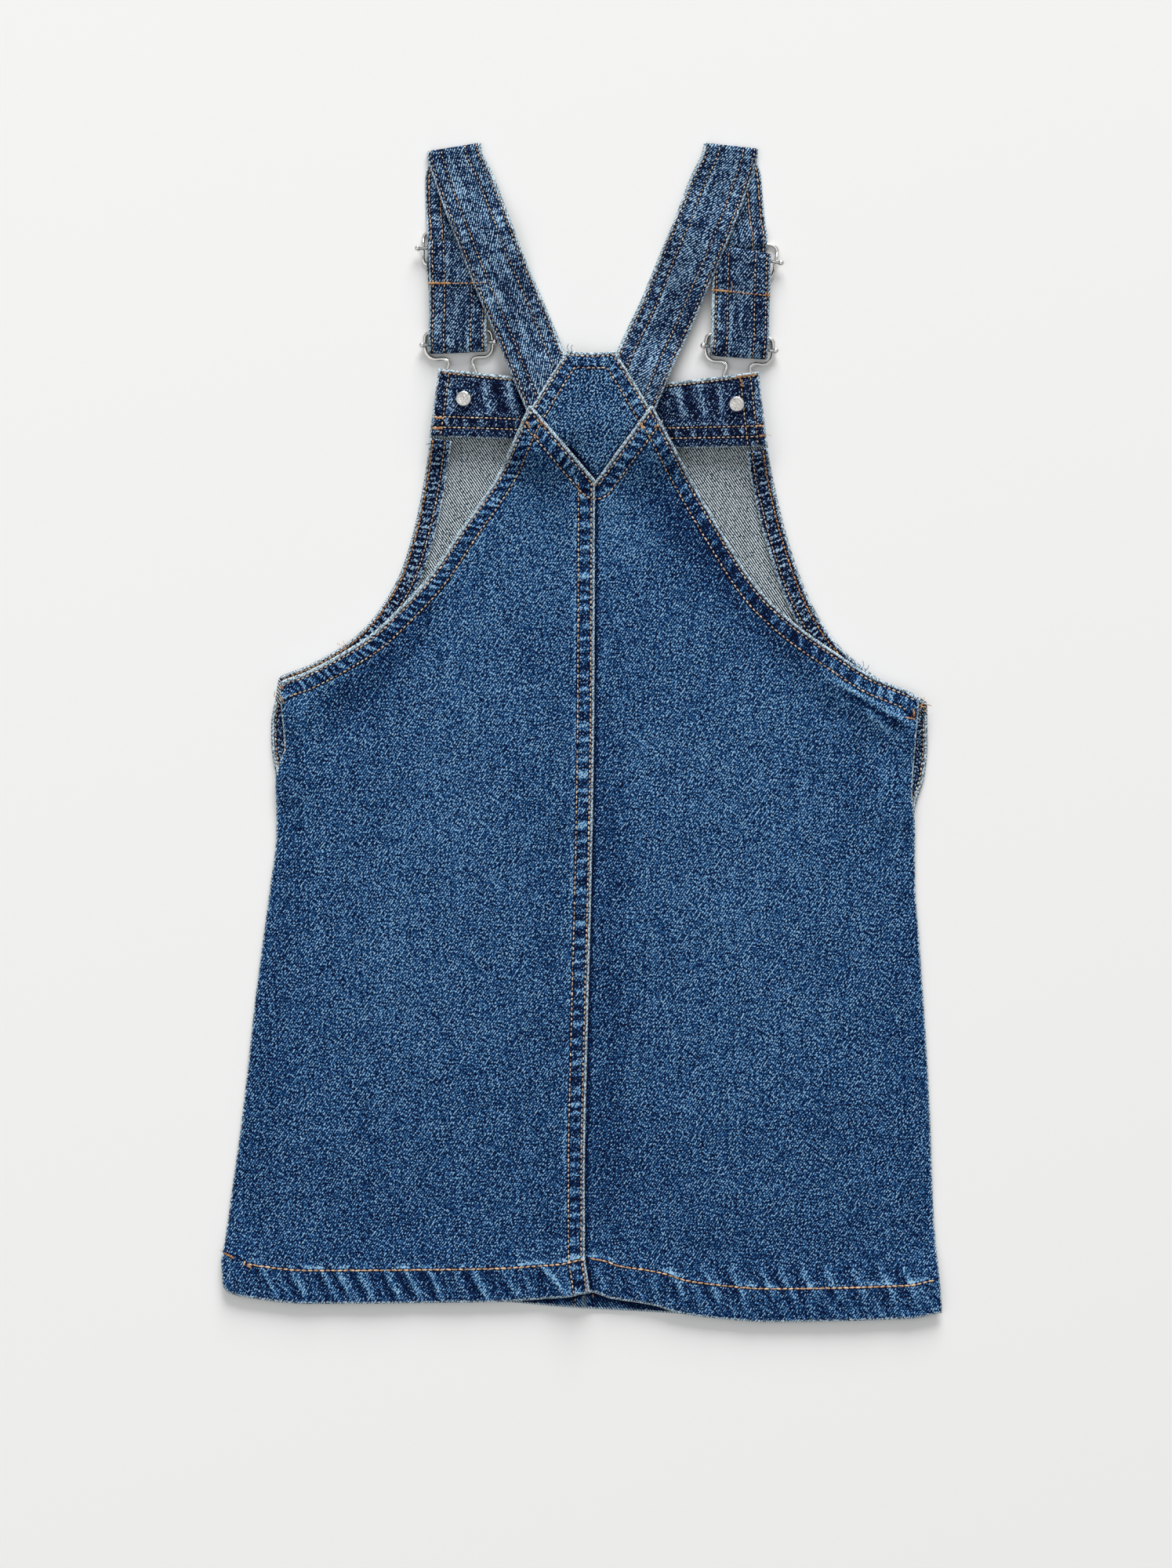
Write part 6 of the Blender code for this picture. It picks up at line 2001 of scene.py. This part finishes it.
    def facing(self) -> Cloth:
        """The plan of the bib's facing."""
        def place(u: Array, v: Array) -> tuple[Array, Array]:
            """A point at a share u across and v up."""
            level = self.facing_low + (BIB_LINE - self.facing_low) * v
            x = smooth(FRONT_LEFT_SIDE, level) * (1 - u) + smooth(FRONT_RIGHT_SIDE, level) * u
            return x, smooth(FACING_LOW, x) * (1 - v) + smooth(BIB_TOP, x) * v

        shares = np.linspace(0, 1, 90)
        low, top = traced(place, shares, 0.0), traced(place, shares, 1.0).turned()
        left, right = traced(place, 0.0, shares).turned(), traced(place, 1.0, shares)
        trims = (
            Trim((2.0,), fold=1.5, period=5.8, swell=0.3, layers=0.5, pucker=0.8, beyond=0.6, seed=21),
            Trim((5.1, 10.4), fold=0.6, period=6.3, slant=0.1, swell=0.35, layers=0.35, beyond=0.8, seed=22),
            Trim((5.6,), fold=0.9, period=6.0, swell=0.25, layers=0.4, pucker=0.7, seed=23),
            Trim((4.6, 9.8), fold=0.9, period=6.4, swell=0.25, layers=0.4, pucker=0.7, seed=24),
        )
        edges = (top, low, left, right)
        return Cloth(
            name="denim_bib_facing", place=place, across=spread(0.0, self.bib[0], 0.95) / self.bib[0],
            along=spread(0.0, self.bib[1], 0.62) / self.bib[1], edges=edges, trims=trims, rounded=edges,
            upper=Denim("denim_bib_facing", trims, stops=FACING_STOPS, lines=0.6, speckle=1.3, mottle=1.1,
                        base=-0.28),
            lower=lining("denim_bib_facing"), wall=1.1, ripple=0.3, seed=61, reach=7.0, creases=self.puckers,
            lies_on=("denim_front_left", "denim_front_right"),
        )

    def build(self, pile: Pile) -> None:
        """Lays the two halves and the facing."""
        for side in ("left", "right"):
            self.pieces[side] = self.half(side)
            self.pieces[side].plan(pile)
        for side in ("left", "right"):
            self.pieces[side].make(pile)
        self.pieces["facing"] = self.facing()
        self.pieces["facing"].build(pile)

    def trim(self, pile: Pile) -> None:
        """Lays the strips along the armholes and the side slits, and sews everything."""
        plans = (
            ("denim_armhole_facing_left", "left", 27.7, 149.2, self.facing_width, (1.5, 7.6), 71),
            ("denim_armhole_facing_right", "right", 14.6, 144.4, self.facing_width, (2.6, 8.4), 73),
            ("denim_side_slit_left", "left", -26.0, 15.0, self.slit_width, (2.0, 6.2), 75),
            ("denim_side_slit_right", "right", -40.0, 9.0, self.slit_width, (2.0, 6.2), 77),
        )
        for plan in plans:
            cloth = self.strip(*plan)
            self.pieces[plan[0]] = cloth
            cloth.build(pile)
        lines: list[Array] = []
        chains: list[Array] = []
        for plan in plans:
            cloth = self.pieces[plan[0]]
            for number, row in enumerate(cloth.trims[0].rows):
                sewn = seam_lines(cloth, cloth.edges[0].inward(row, 1.5, 1.5), 1.0)
                (chains if number == 0 and "armhole" in plan[0] else lines).extend(sewn)
        for side in ("left", "right"):
            lines += trim_lines(self.pieces[side], 0, 6.0, 6.0)
            lines += trim_lines(self.pieces[side], 1, 2.0, 6.0)
        for number in range(4):
            lines += trim_lines(self.pieces["facing"], number, 3.0, 3.0)
        BIB_ROW.sew("stitches_front", lines)
        CHAIN.sew("chain_front", chains)


@dataclass
class Patch:
    """The six-sided patch over the crossing of the straps, tucked under the neckline's V. Sizes in mm."""

    low: float = 119.0
    corner: float = 165.2  # the level of its two side corners
    top: float = 193.6
    dip: float = 0.6  # of its top edge's middle
    across: float = 60.0
    cloth: Cloth | None = None

    def build(self, pile: Pile) -> None:
        """Lays the patch and sews it."""
        def place(u: Array, v: Array) -> tuple[Array, Array]:
            """A point at a share u across, on a level v."""
            left = np.interp(v, *np.array(PATCH_LEFT).T)
            right = np.interp(v, *np.array(PATCH_RIGHT).T)
            dip = self.dip * (1 - (2 * u - 1) ** 2) * eased(v, 175.0, self.top)
            return left * (1 - u) + right * u, v - dip

        u = np.linspace(0, 1, 30)
        upper, lower = np.linspace(self.corner, self.top, 40), np.linspace(self.low, self.corner, 40)
        top, bottom = traced(place, u, self.top).turned(), traced(place, u, self.low)
        upper_left, upper_right = traced(place, 0.0, upper).turned(), traced(place, 1.0, upper)
        lower_left, lower_right = traced(place, 0.0, lower).turned(), traced(place, 1.0, lower)
        around = Path(np.concatenate([upper_right.points, top.points[1:-1], upper_left.points]))
        trims = (Trim((2.0, 8.0), fold=1.3, period=5.2, swell=0.26, layers=0.5, pucker=0.9, seed=31),)
        tip, left_top, right_top = (np.array(point) for point in (V_TIP, V_LEFT_TOP, V_RIGHT_TOP))
        aside = np.array([1.1, 0.9])
        # painted shadows in the gaps beside the neckline's slants
        painted_shadows = ((Path([tip + aside * 0.5, tip + (left_top - tip) * 0.42 + aside * 0.7]), 1.5, -1.1),
                   (Path([tip, right_top - 0.6]), 1.0, -0.5))
        self.cloth = Cloth(
            name="denim_back_patch", place=place,
            across=spread(0.0, self.across, 0.95) / self.across, along=spread(self.low, self.top, 0.72),
            edges=(around,), trims=trims,
            rounded=(top, upper_left, upper_right, lower_left, lower_right, bottom),
            upper=Denim("denim_back_patch", trims, lines=0.7, speckle=1.6, mottle=0.5, base=-0.1),
            lower=lining("denim_back_patch"), wall=1.1, seed=81, painted_shadows=painted_shadows,
            lies_on=("denim_strap_left", "denim_strap_right"),
        )
        self.cloth.build(pile)
        first, last = around.points[0], around.points[-1]
        longer = Path(np.concatenate([[first * 2.4 - around.points[4] * 1.4], around.points,
                                      [last * 2.4 - around.points[-5] * 1.4]]))
        lines: list[Array] = []
        for row in trims[0].rows:
            points = longer.inward(row, 0.5, 0.5).points
            kept = points[longer.measure(*points.T)[0] > row - 0.25]
            lines += seam_lines(self.cloth, Path(kept), 0.6)
        ROW.sew("stitches_patch", lines)


@dataclass(frozen=True)
class ThreadEnds:
    """The bars of tacking at the ends of rows, and the loose ends of thread. Places in mm."""

    back: tuple[tuple[str, float, float, float, float], ...] = (
        ("left", -20.9, 157.1, -18.1, 154.3), ("left", -28, 157.1, -26.5, 154.3),
        ("left", -23.6, 150.2, -22.2, 148.8), ("right", 29.5, 156.3, 30.7, 153.9),
        ("right", 37, 154.3, 39, 155.5), ("left", -153.2, 17.5, -151.6, 14.6),
        ("left", -153.6, 23.4, -152.2, 22), ("right", 164.5, 7.4, 169.2, 6.6),
        ("right", 168.6, 11.6, 169, 8), ("left", -182, -265.4, -177.2, -267.8),
    )
    facing: tuple[tuple[float, float, float, float], ...] = (
        (77.9, 180.2, 88.6, 181.6), (81.1, 178.8, 81.7, 175.6), (-70.6, 182.6, -69.2, 182.4),
        (-64.6, 182.2, -63.4, 182), (-75.2, 159.8, -71, 159.5), (-75.6, 154.3, -71, 154.2),
        (89, 155.6, 91.8, 155.4), (90.4, 150.6, 93, 150.4),
    )
    loose: tuple[tuple[Place, ...], ...] = (
        ((-177, -267.6, 3.2), (-181, -265.6, 3.3), (-184.3, -264.2, 3)),
        ((171.4, 13.4, 6.6), (174.2, 14.2, 6.9), (177.6, 13.4, 6.4)),
        ((172.6, 12, 6.6), (173.6, 15, 6.9), (174.4, 17.9, 6.4)),
        ((171.5, 10.8, 6.6), (172.6, 12.6, 7.2), (175.6, 12.2, 7), (174.2, 10.4, 6.6)),
        ((-155.2, 17.2, 6), (-156.6, 18.6, 6), (-156, 20.6, 5.8)),
        ((-121, 41.8, 5.4), (-122.4, 44, 5.6), (-124.6, 45, 5.2)),
        ((-119.5, 43.4, 5.4), (-121, 45, 5.8), (-121.6, 46.8, 5.4)),
        ((92.6, 150.4, 6.6), (94.6, 151.4, 6.8), (96.2, 150.6, 6.2)),
        ((75.6, 224, 10), (76.4, 226.4, 10.4), (75.8, 228.8, 10)),
    )
    frays: tuple[tuple[Place, ...], ...] = (
        ((142, 32, 5.4), (143.4, 34, 5.8), (143, 36.2, 5.2)),
        ((144, 31, 5.4), (145.6, 32.6, 5.8), (146, 34.2, 5.2)),
        ((-6, 193, 10.4), (-7.4, 195, 10.8), (-6.8, 197, 10.2)),
        ((-5, 193.2, 10.4), (-5.4, 195.4, 10.8), (-4.6, 196.4, 10.2)),
        ((-76.6, 148, 5.6), (-78, 146.6, 5.8), (-79.4, 146.4, 5.2)),
    )
    radius: float = 0.2
    clear: float = -1.0  # a tack may reach over an edge
    sink: float = -0.3

    def build(self, back: Back, front: Front, straps: Sequence[Strap]) -> None:
        """Sews the tacks and leaves the loose ends."""
        tacks: list[Array] = []
        for cloth, *ends in (*((back.pieces[side], *ends) for side, *ends in self.back),
                             *((front.pieces["facing"], *ends) for ends in self.facing)):
            tacks += seam_lines(cloth, Path(np.linspace(ends[:2], ends[2:], 6)), self.clear, self.sink)
        left, right = straps
        tacks += [left.across(228.2, -78.0, -67.6), right.across(224.9, 66.8, 75.9, -1.0),
                  right.across(222.6, 93.4, 94.9)]
        TACK.sew("tacks", tacks)
        BAR_ROW.sew("stitches_strap_bars",
                    [left.across(228.2, -78.0, -49.4), right.across(224.9, 66.8, 95.0, -3.0)])
        for name, routes, thread in (("thread_ends", self.loose, HEM_THREAD),
                                     ("thread_frays", self.frays, FRAY)):
            loose = Solids()
            for points in routes:
                loose.tube(flowing(points, 0.5), self.radius, 6)
            loose.piece(name, thread.material(), "thread")


@dataclass(frozen=True)
class Studio:
    """The plain floor, the soft lights and the camera. Lengths in metres."""

    middle: Pair = (0.0021, -0.0265)
    distance: float = 2.2
    view_height: float = 0.8
    clip: Pair = (0.05, 20.0)
    floor_size: float = 12.0
    sensor: float = 36.0  # the camera's, in mm
    sky: Table = ((0.0, 0.25), (0.5, 0.16), (0.62, 0.2), (0.8, 0.46), (1.0, 0.58))  # (height, grey)
    lamps: tuple[tuple[str, Place, float, float], ...] = (  # name, place, width, watts
        ("key", (0.8, 8.6, 3.8), 5.4, 1040.0), ("fill", (-1.2, -0.4, 2.2), 2.0, 8.0),
    )
    paper: tuple[float, ...] = (0.88, 0.88, 0.875, 1.0)

    def build(self) -> None:
        """Sets the stage."""
        scene = bpy.context.scene
        scene.view_settings.view_transform = "Standard"
        half = self.floor_size / 2
        mesh = bpy.data.meshes.new("floor")
        mesh.from_pydata([(-half, -half, 0.0), (half, -half, 0.0), (half, half, 0.0), (-half, half, 0.0)], [],
                         [(0, 1, 2, 3)])
        material, tree, shader = new_finish("floor_paper")
        tree.feed(shader, {"Base Color": self.paper, "Roughness": 0.95, "Specular IOR Level": 0.0})
        mesh.materials.append(material)
        placed("floor", mesh)
        scene.world = bpy.data.worlds.new("studio")
        scene.world.use_nodes = True
        tree = Tree(scene.world.node_tree)
        height = tree.parts(tree.add("ShaderNodeTexCoord").outputs["Generated"])[2]
        sky = tree.ramp(tree.blend(height, 0.5, 0.5),
                        [(place, (grey, grey, grey)) for place, grey in self.sky])
        tree.feed(tree.tree.nodes["Background"], {"Color": sky})
        for name, place, size, power in self.lamps:
            light = bpy.data.lights.new(name, "AREA")
            light.shape = "DISK"
            light.size = size
            light.energy = power
            lamp = placed(name, light)
            lamp.location = place
            lamp.rotation_euler = (-Vector(place)).to_track_quat("-Z", "Y").to_euler()
        lens = bpy.data.cameras.new("camera")
        lens.sensor_width = self.sensor
        lens.lens = self.sensor * self.distance / self.view_height
        lens.clip_start, lens.clip_end = self.clip
        scene.camera = placed("camera", lens)
        scene.camera.location = (*self.middle, self.distance)


def main() -> None:
    """Builds the dress in the order that its pieces lie on each other."""
    logging.basicConfig(level=logging.INFO, format="%(name)s: %(message)s")
    pile = Pile()
    metal = Nickel("nickel_wire").material()
    capped = Nickel("nickel_cap", 0.5).material()
    fittings = [Fittings(side, STRAPS[side]["slider"], STRAPS[side]["pin"], button)
                for side, button in zip(("left", "right"), BUTTONS)]
    for fitting in fittings:
        fitting.build(pile, metal)
    front = Front()
    front.build(pile)
    for fitting in fittings:
        fitting.cap(pile, capped)
    front.trim(pile)
    straps = [Strap("left", STRAPS["left"]), Strap("right", STRAPS["right"], mirrored=True)]
    for strap in straps:
        strap.guide(pile)
    base = pile.cover(12.0)
    for strap in straps:
        strap.build(pile, base)
    STRAP_ROW.sew("stitches_straps", [line for strap in straps for line in strap.rows(outside=True)])
    LONG_ROW.sew("stitches_straps_wrong", [line for strap in straps for line in strap.rows(outside=False)])
    Patch().build(pile)
    back = Back()
    back.build(pile)
    ThreadEnds().build(back, front, straps)
    Studio().build()


if __name__ == "__main__":
    main()
